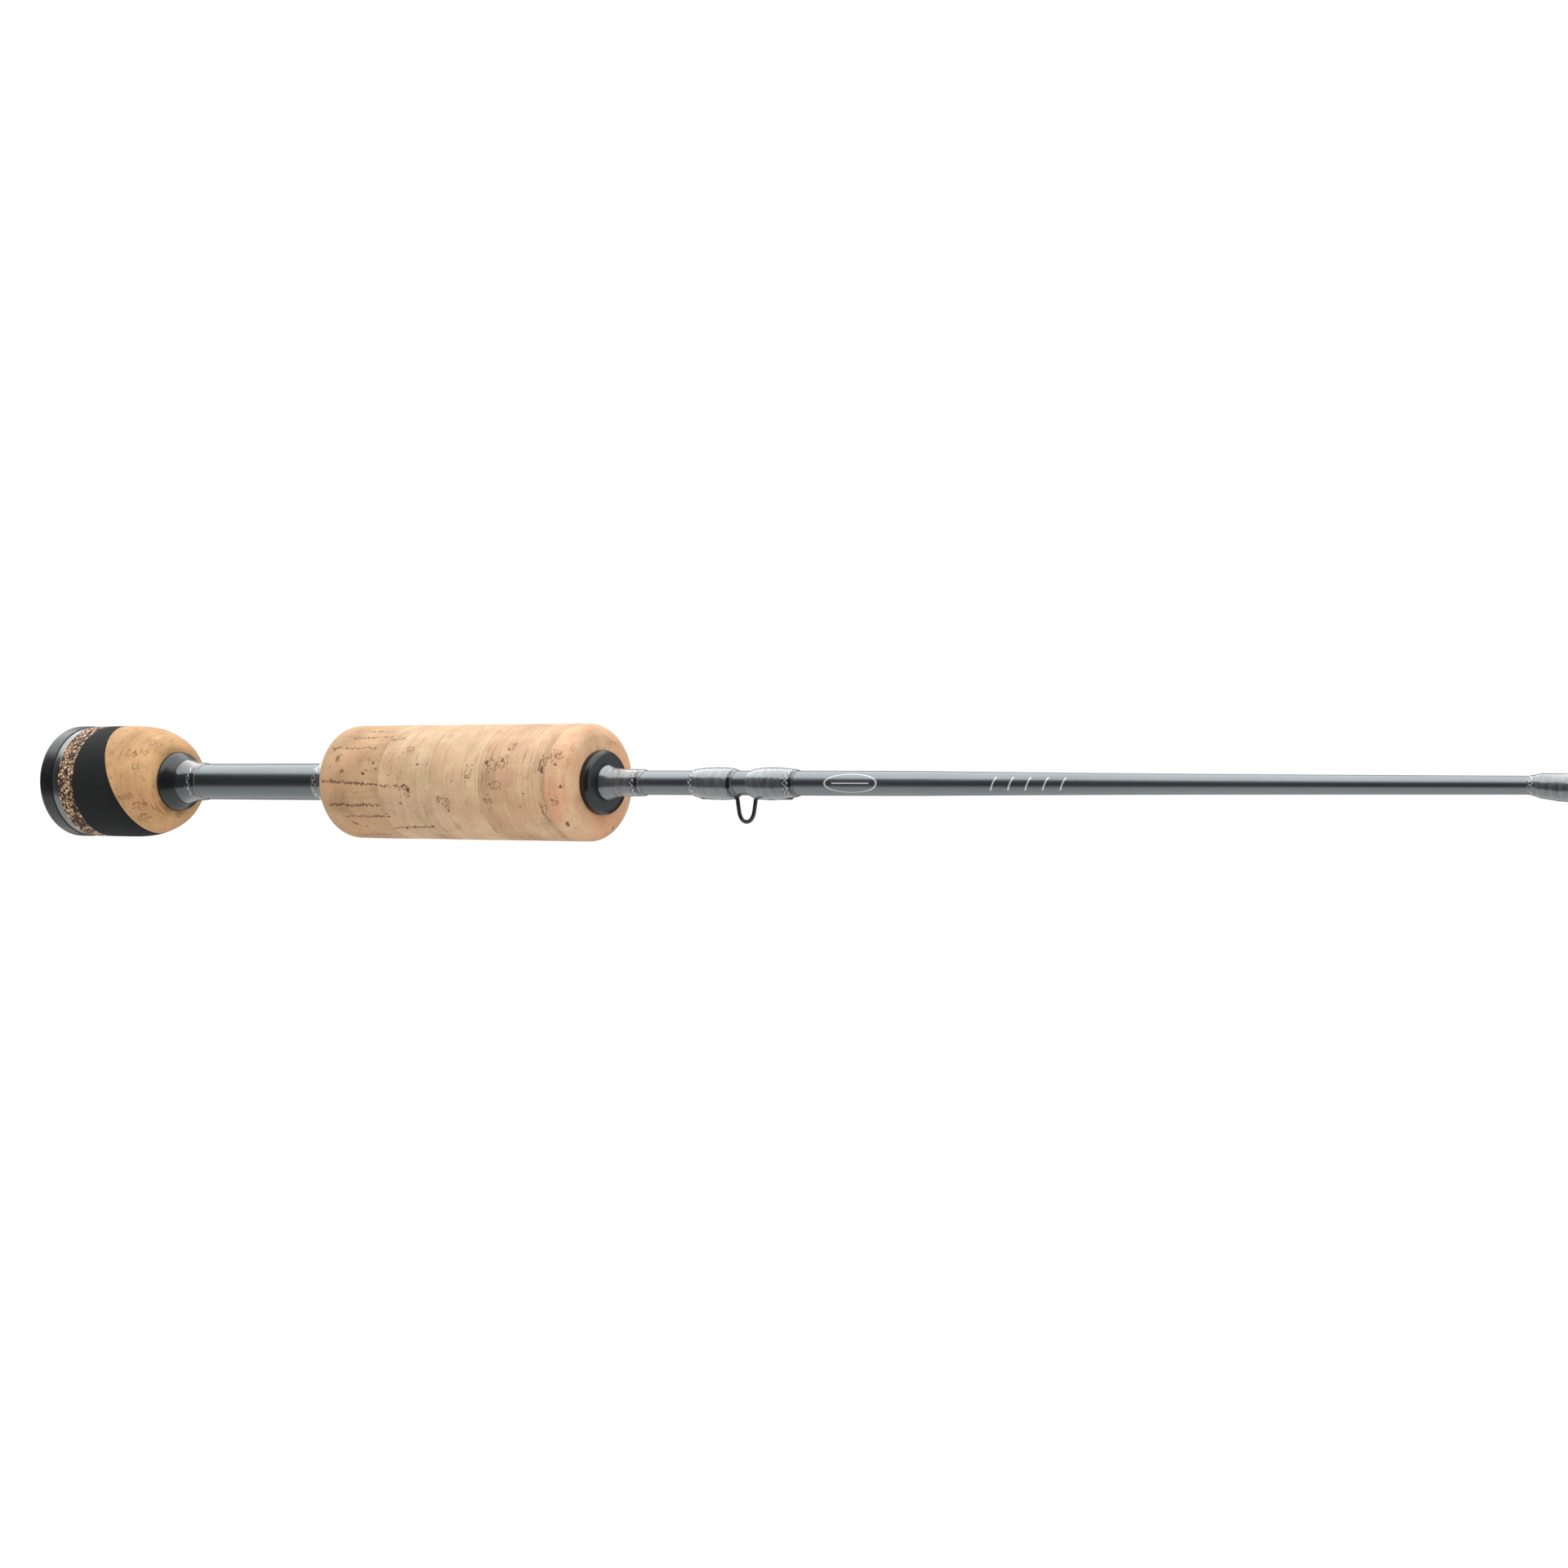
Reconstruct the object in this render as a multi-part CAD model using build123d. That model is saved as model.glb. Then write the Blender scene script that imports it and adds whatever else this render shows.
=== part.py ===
from build123d import *

import os
from math import cos, radians, sin

# Ice fishing rod, 28 inches long, built from turned, glued and thread-bound pieces.
# Millimetres. The rod lies along +X with the butt's flat end at the origin.
# The hook keeper and the line guides hang below the blank, towards -Z.

# ---- Driving dimensions ----

glue_gap = 0.03  # radial room for glue between a core and what is slipped over it
cork_radius = 12.7  # fore grip, turned from one-inch cork rings
butt_radius = 13.25

# Butt end, stations from the flat end forwards
cap_end = 4.7
cap_radius = 13.3
cap_round = 1.1
cap_spigot = 9.0
trim_end = 6.9
trim_radius = 13.1
burl_end = 12.1
slant_x = 22.3  # where the slanted glue line crosses the rod's axis
slant_tilt = 24.7  # degrees away from square
slant_turn = -112.0  # degrees round the rod, from +Y, of the glue line's foremost point
nose_outline = [(20.0, 13.25), (22.0, 13.2), (25.0, 12.96), (28.0, 12.36), (31.0, 11.25), (32.8, 10.18),
                (33.8, 9.2), (34.3, 8.2), (34.4, 7.2)]
butt_cork_end = nose_outline[-1][0]

# Handle tube and blank
tube_radius = 4.18
tube_bore = 3.4
tube_end = 163.2
blank_taper = [(48.0, 2.62), (165.0, 2.58), (238.0, 2.52), (262.0, 2.34), (300.0, 2.03),
               (335.0, 1.84), (378.0, 1.66), (520.0, 1.10), (640.0, 0.68), (706.0, 0.46)]
bushing_stations = [(50.0, 64.0), (146.0, 162.0)]

# Rear winding check and the wrap in front of it
rear_check_outline = [(34.4, 6.67), (34.65, 6.97), (35.2, 6.97), (36.0, 6.62), (37.3, 5.85), (38.5, 5.3)]
rear_wrap_outline = [(38.5, 5.25), (39.6, 4.95), (41.0, 4.66), (42.4, 4.5), (43.7, 4.42), (44.4, 4.23)]
rear_wrap_trim = (41.9, 42.7)

# Fore grip
fore_start = 91.4
fore_end = 165.0
fore_rear_round = 3.95
fore_front_round = 2.9
fore_joints = [111.6, 126.8, 141.3, 160.2]
tube_wrap_outline = [(82.4, 4.23), (83.2, 4.42), (85.5, 4.5), (91.4, 4.5)]
tube_wrap_trim = (83.1, 84.3)

# Front winding check and the wrap in front of it
front_check_outline = [(165.0, 6.68), (165.2, 6.93), (166.3, 6.93), (166.9, 6.66), (167.3, 6.13), (167.5, 5.33)]
front_wrap_outline = [(167.5, 3.98), (168.4, 3.58), (169.6, 3.22), (171.2, 3.0), (173.5, 2.92),
                      (177.0, 2.9), (177.9, 2.61)]
front_wrap_trim = (175.3, 176.5)

# Hook keeper: a wire loop below the blank, its two feet bound by wraps
keeper_wire = 0.8
keeper_legs = (202.4, 206.9)
keeper_narrowing = 0.35  # how far each leg leans in towards the bottom of the loop
keeper_depth = 8.08  # from the rod's axis to the wire's centre at the bottom of the loop
keeper_feet = (192.6, 216.6)
keeper_bend = 0.7
keeper_bottom_flat = 0.2
keeper_rear_span = (191.0, 202.5)
keeper_front_span = (206.1, 218.2)
keeper_wall = 0.43  # thread and epoxy over the wire
keeper_wrap_drop = 0.14  # how far the wraps' centre lies below the rod's axis
keeper_wrap_taper = 3.0
keeper_wrap_edge = 0.2  # how far a wrap's ends stand above the blank
wrap_shoulder_share = 0.6  # how much of the height a taper has gained after a third of its length
keeper_rear_trim = (191.0, 192.3)
keeper_front_trim = (216.0, 217.3)

# Line guides: ring centre station, ring bore radius, height of the ring's centre below the blank
guide_ring_wall = 0.75
guide_ring_width = 1.5
guide_ring_land = 0.8  # straight part of the ring's bore
guide_ring_edge = 0.3
ring_room = 0.2  # how far the legs stop short of the hard ring
guide_band_wall = 0.5
guide_band_width = 1.1
guide_band_shoulder = 0.6  # share of the band left square before its edges are cut
guide_wire = 0.95
leg_inset = 0.45  # how far the legs' ends lie inside the foot's sides, in wire diameters
leg_drop = 0.25  # how far they lie below its middle, in wire diameters
foot_width = 1.5
foot_thickness = 0.82
foot_toe_thickness = 0.2
foot_length = 12.0
foot_thick_share = 0.35  # share of a full foot that keeps its full thickness
single_foot_share = 0.85  # length of a single foot against a double one
double_heel = 5.5  # from the ring's station to the heel
single_heel = 4.6
leg_angles = (62.0, 22.0)  # degrees from the top of the ring, first foot and second foot
wrap_past_toe = 2.6
wrap_past_heel = 1.6
guide_trim = (0.2, 1.3)  # from the toe end of a wrap
stripper = (399.0, 3.7, 10.5)
running_guides = [(482.0, 2.8, 7.6), (548.0, 2.2, 5.8), (605.0, 1.9, 4.8), (655.0, 1.7, 4.2)]
guide_wrap_wall = 0.48

# Tip-top
tip_ring_x = 710.2
tip_ring_bore = 1.6
tip_ring_drop = 3.6
tip_tube = (695.0, 706.6)
tip_tube_wall = 0.25
tip_wire = 0.7
tip_brace_lap = 6.5  # how far back along the tube the two braces reach
tip_brace_spread = (0.7, 0.6)  # where they touch the tube, sideways and down, in tube radii
tip_stay_lap = 0.6
tip_stay_spread = 0.2
tip_stay_place = (0.35, 0.93)  # where the stays meet the ring, sideways and up, in ring radii
tip_wrap_outline = [(688.4, 0.1), (689.2, 0.3), (694.5, 0.35), (695.0, 0.3)]  # radii above the blank
tip_wrap_trim = (689.3, 690.2)

far = 60.0  # larger than any section, for cutting slabs


# ---- Shapes used by many pieces ----

def turned(points, x_offset=0.0, z_offset=0.0):
    """A closed outline of (station, radius) points turned about the rod's axis, or one parallel to it."""
    face = Plane.XZ * make_face(Polyline(*points, close=True))
    return Pos(x_offset, 0, z_offset) * revolve(face, Axis.X)


def sleeve(start, end, outer, inner):
    """A plain tube along the rod."""
    return turned([(start, inner), (end, inner), (end, outer), (start, outer)])


def rounded_rod(points):
    """A solid of revolution whose outer line is a smooth curve through (station, radius) points."""
    first, last = points[0], points[-1]
    skin = Spline(*points)
    sides = Polyline(last, (last[0], 0), (first[0], 0), first)
    return revolve(Plane.XZ * make_face(skin + sides), Axis.X)


def slab(start, end):
    """Everything between two stations."""
    return Pos((start + end) / 2, 0, 0) * Box(end - start, far, far)


def blank_radius(x):
    """The blank's radius at a station, straight between the points of its taper."""
    for (x0, r0), (x1, r1) in zip(blank_taper, blank_taper[1:]):
        if x <= x1:
            return r0 + (r1 - r0) * (x - x0) / (x1 - x0)
    return blank_taper[-1][1]


def blank_core(clearance=0.0):
    """The blank, or the hole that a piece needs to fit over it."""
    line = [(x, r + clearance) for x, r in blank_taper]
    return turned([(line[0][0], 0)] + line + [(line[-1][0], 0)])


def wire(path, diameter):
    """Round wire along a path."""
    start = Plane(origin=path @ 0, z_dir=path % 0)
    return sweep(start * Circle(diameter / 2), path=path, transition=Transition.RIGHT)


def strut(start, end, diameter):
    """A straight round wire with rounded ends."""
    line = Line(start, end)
    ball = Sphere(diameter / 2)
    return wire(line, diameter) + Pos(*start) * ball + Pos(*end) * ball


def bound(outer, core, buried, trim_span):
    """A thread wrap round its core and buried feet, and the trim band laid into it."""
    whole = outer - core
    for piece in buried:
        whole = whole - piece
    band = whole & slab(*trim_span)
    thread = whole - slab(*trim_span)
    return thread, band


def barrel(start, end, radius, end_radius, end_length, z_offset=0.0):
    """The outer form of a wrap that binds a foot: a cylinder that eases down at each end."""
    ease = end_length / 3
    shoulder = end_radius + wrap_shoulder_share * (radius - end_radius)
    line = [(start, end_radius), (start + ease, shoulder), (start + end_length, radius),
            (end - end_length, radius), (end - ease, shoulder), (end, end_radius)]
    return turned([(start, 0)] + line + [(end, 0)], z_offset=z_offset)


def eased(way, length):
    """Rises smoothly from 0 to 1 over a length."""
    part = min(max(way / length, 0.0), 1.0)
    return part * part * (3 - 2 * part)


def swelling(toe_end, heel_end, wall, foot):
    """The outer form of a wrap over a guide foot: round at its toe end, deeper below as the foot thickens."""
    length = abs(heel_end - toe_end)
    way = 1 if heel_end > toe_end else -1
    sections = []
    for part in (0, 0.04, 0.12, 0.25, 0.45, 0.7, 0.92, 1.0):
        along = part * length
        x = toe_end + way * along
        closing = 0.35 + 0.65 * eased(length - along, 1.2)
        skin = wall * closing * (0.3 + 0.7 * eased(along, 2.2))
        depth = foot * eased(along + 0.4, 7.5)
        circle = Circle(blank_radius(x) + skin + depth / 2)
        sections.append(Pos(x, 0, -depth / 2) * Rot(0, 90, 0) * circle)
    if way < 0:
        sections.reverse()
    return loft(sections, ruled=True)


pieces = {}


# ---- Butt ----

def make_butt():
    cap = sleeve(0, cap_end, cap_radius, 0)
    back_edge = cap.edges().filter_by(GeomType.CIRCLE).sort_by(Axis.X)[0]
    cap = fillet(back_edge, cap_round)
    spigot = sleeve(cap_end, cap_end + cap_spigot, tube_bore - glue_gap, 0)
    pieces["butt_cap"] = cap + spigot

    bore = tube_radius + glue_gap
    pieces["butt_trim_ring"] = sleeve(cap_end, trim_end, trim_radius, bore)
    pieces["burl_cork_ring"] = sleeve(trim_end, burl_end, butt_radius, bore)

    # One turned form, cut by the slanted glue line into the black ring and the cork
    shoulder, tip = nose_outline[0], nose_outline[-1]
    outline = Spline(*nose_outline)
    outline += Polyline(tip, (butt_cork_end, bore), (burl_end, bore), (burl_end, butt_radius), shoulder)
    form = revolve(Plane.XZ * make_face(outline), Axis.X)
    turn = radians(slant_turn)
    tilt = radians(slant_tilt)
    normal = (cos(tilt), -sin(tilt) * cos(turn), -sin(tilt) * sin(turn))
    glue_line = Plane(origin=(slant_x, 0, 0), z_dir=normal)
    pieces["black_composite_ring"] = split(form, bisect_by=glue_line, keep=Keep.BOTTOM)
    pieces["butt_cork"] = split(form, bisect_by=glue_line, keep=Keep.TOP)


def make_rear_check():
    bore = tube_radius + glue_gap
    start, end = rear_check_outline[0][0], rear_check_outline[-1][0]
    pieces["rear_winding_check"] = turned([(start, bore)] + rear_check_outline + [(end, bore)])
    core = sleeve(0, fore_end, bore, 0)
    thread, band = bound(rounded_rod(rear_wrap_outline), core, [], rear_wrap_trim)
    pieces["rear_check_wrap"] = thread
    pieces["rear_check_trim_band"] = band


# ---- Handle tube, fore grip and what the tube holds ----

def make_handle():
    pieces["handle_tube"] = sleeve(cap_end, tube_end, tube_radius, tube_bore)
    bore = tube_radius + glue_gap
    core = sleeve(0, fore_end, bore, 0)
    thread, band = bound(rounded_rod(tube_wrap_outline), core, [], tube_wrap_trim)
    pieces["tube_end_wrap"] = thread
    pieces["tube_end_trim_band"] = band

    grip = sleeve(fore_start, fore_end, cork_radius, 0)
    rims = grip.edges().filter_by(GeomType.CIRCLE).sort_by(Axis.X)
    grip = fillet(rims[0], fore_rear_round)
    rims = grip.edges().filter_by(GeomType.CIRCLE).sort_by(Axis.X)
    grip = fillet(rims[-1], fore_front_round)
    grip = grip - sleeve(fore_start, tube_end, bore, 0) - blank_core(glue_gap)
    stations = [fore_start] + fore_joints + [fore_end]
    for number, (start, end) in enumerate(zip(stations, stations[1:]), 1):
        pieces[f"fore_grip_cork_{number}"] = grip & slab(start, end)

    for name, (start, end) in zip(("rear", "front"), bushing_stations):
        plug = sleeve(start, end, tube_bore - glue_gap, 0)
        pieces[f"blank_bushing_{name}"] = plug - blank_core(glue_gap)


def make_front_check():
    core = blank_core(glue_gap)
    start, end = front_check_outline[0][0], front_check_outline[-1][0]
    dome = turned([(start, 0)] + front_check_outline + [(end, 0)])
    pieces["front_winding_check"] = dome - core
    thread, band = bound(rounded_rod(front_wrap_outline), core, [], front_wrap_trim)
    pieces["front_check_wrap"] = thread
    pieces["front_check_trim_band"] = band
    pieces["blank"] = blank_core()


# ---- Hook keeper ----

def make_hook_keeper():
    rear, front = keeper_legs
    middle = (rear + front) / 2
    top = -(blank_radius(middle) + keeper_wire / 2 + glue_gap)
    foot_rear, foot_front = keeper_feet
    corners = [(foot_rear, top), (rear, top), (rear + keeper_narrowing, -keeper_depth),
               (front - keeper_narrowing, -keeper_depth), (front, top), (foot_front, top)]
    loop_radius = (front - rear - 2 * keeper_narrowing - keeper_bottom_flat) / 2
    path = FilletPolyline(*[(x, 0, z) for x, z in corners],
                          radius=[keeper_bend, loop_radius, loop_radius, keeper_bend])
    keeper = wire(path, keeper_wire)
    pieces["hook_keeper"] = keeper

    core = blank_core(glue_gap)
    radius = blank_radius(middle) + keeper_wire / 2 + keeper_wall
    end_radius = blank_radius(middle) + keeper_wrap_edge
    wraps = (("rear", keeper_rear_span, keeper_rear_trim), ("front", keeper_front_span, keeper_front_trim))
    for name, (start, end), trim in wraps:
        outer = barrel(start, end, radius, end_radius, keeper_wrap_taper, -keeper_wrap_drop)
        thread, band = bound(outer, core, [keeper], trim)
        pieces[f"keeper_{name}_wrap"] = thread
        pieces[f"keeper_{name}_trim_band"] = band


# ---- Line guides ----

def guide_foot(heel, toe):
    """A foot under the blank, thick where it meets the frame and thinned to its toe."""
    way = 1 if toe > heel else -1
    heel_top = -(blank_radius(heel) + glue_gap)
    toe_top = -(blank_radius(toe) + glue_gap)
    outline = Polyline((heel, heel_top), (toe, toe_top), (toe, toe_top - foot_toe_thickness),
                       (heel + way * foot_length * foot_thick_share, heel_top - foot_thickness),
                       (heel, heel_top - foot_thickness), close=True)
    return extrude(Plane.XZ * make_face(outline), foot_width / 2, both=True)


def ring_and_band(x, bore, drop):
    """The hard ring that the line runs through, and the metal band that holds it."""
    half = guide_ring_width / 2
    land = guide_ring_land / 2
    outer = bore + guide_ring_wall
    bevel = guide_ring_edge / 2
    lip = bore + guide_ring_edge
    ring = turned([(-land, bore), (land, bore), (half, lip), (half, outer - bevel), (half - bevel, outer),
                   (bevel - half, outer), (-half, outer - bevel), (-half, lip)], x, -drop)
    width = guide_band_width / 2
    inner = outer + glue_gap
    side = inner + guide_band_wall * guide_band_shoulder
    crown = inner + guide_band_wall
    flat = width * guide_band_shoulder
    band = turned([(-width, inner), (width, inner), (width, side), (flat, crown), (-flat, crown),
                   (-width, side)], x, -drop)
    return ring, band


def legs_from(x, bore, drop, heel, angle):
    """Two wires from the sides of the band up to one heel under the blank."""
    reach = bore + guide_ring_wall + glue_gap + guide_band_wall / 2
    heel_z = -(blank_radius(heel) + glue_gap + foot_thickness / 2)
    legs = []
    for side in (-1, 1):
        foot_end = (heel, side * (foot_width / 2 - guide_wire * leg_inset), heel_z - guide_wire * leg_drop)
        ring_end = (x, side * reach * sin(radians(angle)), -drop + reach * cos(radians(angle)))
        legs.append(strut(ring_end, foot_end, guide_wire))
    return legs


def make_guide(name, station, foot_sides):
    x, bore, height = station
    drop = blank_radius(x) + height
    ring, frame = ring_and_band(x, bore, drop)
    feet = []
    ring_hole = Pos(x, 0, -drop) * Rot(0, 90, 0) * Cylinder(
        bore + guide_ring_wall + ring_room, guide_ring_width + guide_wire)
    blank_room = blank_core(glue_gap)
    double = len(foot_sides) > 1
    for side, angle in zip(foot_sides, leg_angles):
        heel = x + side * (double_heel if double else single_heel)
        toe = heel + side * foot_length * (1.0 if double else single_foot_share)
        foot = guide_foot(heel, toe)
        for leg in legs_from(x, bore, drop, heel, angle):
            frame = frame + (leg - ring_hole)
        frame = frame + foot
        feet.append((heel, toe))
    pieces[f"{name}_frame"] = frame
    pieces[f"{name}_ring"] = ring
    for (heel, toe), side in zip(feet, foot_sides):
        label = f"{name}_{'rear' if side < 0 else 'front'}" if double else name
        toe_end = toe + side * wrap_past_toe
        heel_end = heel + side * wrap_past_heel
        outer = swelling(toe_end, heel_end, guide_wrap_wall, foot_thickness)
        trim = sorted(toe_end - side * length for length in guide_trim)
        thread, band = bound(outer, blank_room, [frame], trim)
        pieces[f"{label}_wrap"] = thread
        pieces[f"{label}_trim_band"] = band


def make_tip_top():
    x, bore, drop = tip_ring_x, tip_ring_bore, tip_ring_drop
    ring, band = ring_and_band(x, bore, drop)
    start, end = tip_tube
    inner = blank_radius(start) + glue_gap
    outer = inner + tip_tube_wall
    reach = bore + guide_ring_wall + glue_gap + guide_band_wall / 2
    ring_hole = Pos(x, 0, -drop) * Rot(0, 90, 0) * Cylinder(
        bore + guide_ring_wall + ring_room, guide_ring_width * 4)
    frame = band + sleeve(start, end, outer, 0)
    brace_side, brace_down = tip_brace_spread
    stay_side, stay_up = tip_stay_place
    for side in (-1, 1):
        brace_end = (end - tip_brace_lap, side * outer * brace_side, -outer * brace_down)
        brace = strut(brace_end, (x, side * reach, -drop), tip_wire)
        stay_end = (end - tip_stay_lap, side * tip_stay_spread, 0)
        stay = strut(stay_end, (x, side * reach * stay_side, -drop + reach * stay_up), tip_wire)
        frame = frame + (brace - ring_hole) + (stay - ring_hole)
    socket = turned([(start, 0), (start, inner), (blank_taper[-1][0], blank_radius(end) + glue_gap),
                     (blank_taper[-1][0], 0)])
    pieces["tip_top_frame"] = frame - socket
    pieces["tip_top_ring"] = ring

    start, end = tip_wrap_outline[0][0], tip_wrap_outline[-1][0]
    skin = [(station, blank_radius(start) + wall) for station, wall in tip_wrap_outline]
    wrap_form = turned([(start, 0)] + skin + [(end, 0)])
    thread, trim = bound(wrap_form, blank_core(glue_gap), [], tip_wrap_trim)
    pieces["tip_top_wrap"] = thread
    pieces["tip_top_trim_band"] = trim


make_butt()
make_rear_check()
make_handle()
make_front_check()
make_hook_keeper()
make_guide("stripper_guide", stripper, (-1, 1))
for number, station in enumerate(running_guides, 2):
    make_guide(f"guide_{number}", station, (1,))
make_tip_top()

os.makedirs("parts", exist_ok=True)
for name, shape in pieces.items():
    export_step(shape, f"parts/{name}.step")
print(len(pieces), "pieces")
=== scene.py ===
import math

import bpy
import numpy as np
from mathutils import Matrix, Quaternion, Vector


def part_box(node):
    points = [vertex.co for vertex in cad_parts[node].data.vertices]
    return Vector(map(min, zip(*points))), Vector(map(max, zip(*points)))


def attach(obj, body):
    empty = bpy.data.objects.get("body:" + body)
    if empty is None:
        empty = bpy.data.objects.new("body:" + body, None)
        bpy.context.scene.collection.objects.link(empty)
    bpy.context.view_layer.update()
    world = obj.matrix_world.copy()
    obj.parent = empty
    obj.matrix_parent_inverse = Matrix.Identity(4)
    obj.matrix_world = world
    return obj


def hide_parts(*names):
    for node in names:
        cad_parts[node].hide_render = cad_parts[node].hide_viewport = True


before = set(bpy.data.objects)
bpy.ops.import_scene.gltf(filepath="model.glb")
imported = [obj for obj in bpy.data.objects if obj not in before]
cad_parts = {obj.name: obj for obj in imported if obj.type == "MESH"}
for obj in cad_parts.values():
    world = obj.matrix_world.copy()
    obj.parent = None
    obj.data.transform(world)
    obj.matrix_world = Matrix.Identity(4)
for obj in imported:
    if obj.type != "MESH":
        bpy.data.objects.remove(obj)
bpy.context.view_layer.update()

MM = 0.001
TURN = 2 * math.pi

# ---- Driving sizes, in millimetres, as the CAD has them ----

cork_radius = 12.7
butt_radius = 13.25
tube_radius = 4.18
tube_bore_gap = 0.03
fore_rear_round = 3.95
fore_front_round = 2.9
grip_bore = tube_radius + tube_bore_gap
slant_x = 22.3
slant_tilt = 24.7
slant_turn = -112.0
tube_bore = 3.4
bushing_bore = 2.64
plug_radius = 3.37
nose_outline = [(20.0, 13.25), (22.0, 13.2), (25.0, 12.96), (28.0, 12.36), (31.0, 11.25), (32.8, 10.18),
                (33.8, 9.2), (34.3, 8.2), (34.4, 7.2)]
blank_taper = [(48.0, 2.62), (165.0, 2.58), (238.0, 2.52), (262.0, 2.34), (300.0, 2.03),
               (335.0, 1.84), (378.0, 1.66), (520.0, 1.10), (640.0, 0.68), (706.0, 0.46)]


def span(node):
    """First and last station of a CAD node along the rod, in millimetres."""
    low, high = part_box(node)
    return low.x / MM, high.x / MM


def blank_radius(x):
    stations, radii = zip(*blank_taper)
    return np.interp(x, stations, radii)


def angle_in(degrees):
    """Degrees up or down from the side that faces -Y, as an angle round the rod from +Y."""
    return math.radians(180 - degrees)


# ---- Numbers that repeat the same way each run ----

def noise(seed, along, around, cell_along, cells_around):
    """Smooth value noise from 0 to 1 on a turned surface, joined to itself after a full turn."""
    rows = 512
    table = np.random.default_rng(seed).random((rows, cells_around))
    u = along / cell_along
    v = (around / TURN) % 1.0 * cells_around
    i = np.floor(u).astype(int)
    j = np.floor(v).astype(int)
    fu = u - i
    fv = v - j
    fu = fu * fu * (3 - 2 * fu)
    fv = fv * fv * (3 - 2 * fv)
    i0 = i % rows
    i1 = (i + 1) % rows
    j0 = j % cells_around
    j1 = (j + 1) % cells_around
    low = table[i0, j0] * (1 - fv) + table[i0, j1] * fv
    high = table[i1, j0] * (1 - fv) + table[i1, j1] * fv
    return low * (1 - fu) + high * fu


def smooth_step(value, low, high):
    part = np.clip((value - low) / (high - low), 0, 1)
    return part * part * (3 - 2 * part)


# ---- Outlines ----

def rounded(points, steps=5):
    """An outline of (station, radius, cut) corners, each corner rounded off by its cut length."""
    done = []
    count = len(points)
    for k, (x, r, cut) in enumerate(points):
        if cut == 0 or k in (0, count - 1):
            done.append((x, r))
            continue
        here = np.array((x, r))
        before = np.array(points[k - 1][:2]) - here
        after = np.array(points[k + 1][:2]) - here
        start = here + before / np.linalg.norm(before) * cut
        end = here + after / np.linalg.norm(after) * cut
        for t in np.linspace(0, 1, steps):
            done.append(tuple((1 - t) ** 2 * start + 2 * t * (1 - t) * here + t * t * end))
    return done


def spaced(points, step):
    """The same outline with no run longer than step."""
    done = [points[0]]
    for a, b in zip(points, points[1:]):
        a = np.array(a, float)
        b = np.array(b, float)
        pieces = max(1, math.ceil(np.linalg.norm(b - a) / step))
        done += [tuple(a + (b - a) * k / pieces) for k in range(1, pieces + 1)]
    return done


def curved(points, per_run=8):
    """A smooth curve through the points (Catmull-Rom)."""
    p = np.array(points, float)
    p = np.vstack([2 * p[0] - p[1], p, 2 * p[-1] - p[-2]])
    done = []
    for a, b, c, d in zip(p, p[1:], p[2:], p[3:]):
        for t in np.arange(per_run) / per_run:
            done.append(0.5 * (2 * b + (c - a) * t + (2 * a - 5 * b + 4 * c - d) * t ** 2
                               + (3 * b - a - 3 * c + d) * t ** 3))
    done.append(p[-2])
    return np.array(done)


# ---- Meshes ----

def in_scene(name, data):
    item = bpy.data.objects.new(name, data)
    bpy.context.scene.collection.objects.link(item)
    return item


finishes = {}  # each material by its name


def mesh_piece(name, points, faces, finish, attributes=None, uv=None):
    mesh = bpy.data.meshes.new(name)
    mesh.from_pydata((np.asarray(points) * MM).tolist(), [], faces)
    mesh.update()
    for key, values in (attributes or {}).items():
        layer = mesh.attributes.new(key, "FLOAT", "POINT")
        layer.data.foreach_set("value", np.asarray(values, np.float32).ravel())
    if uv is not None:
        layer = mesh.uv_layers.new(name="turned")
        layer.data.foreach_set("uv", np.asarray(uv, np.float32).ravel())
    mesh.shade_smooth()
    mesh.materials.append(finishes[finish])
    return in_scene(name, mesh)


def grid_faces(rows, columns, closed):
    """Quads of a grid that wraps round its columns, and round its rows if closed, facing outwards."""
    row = np.arange(rows if closed else rows - 1)[:, None]
    column = np.arange(columns)[None, :]
    next_row = (row + 1) % rows
    next_column = (column + 1) % columns
    corner = [row * columns + column, row * columns + next_column,
              next_row * columns + next_column, next_row * columns + column]
    return np.stack(corner, -1).reshape(-1, 4)


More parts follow.
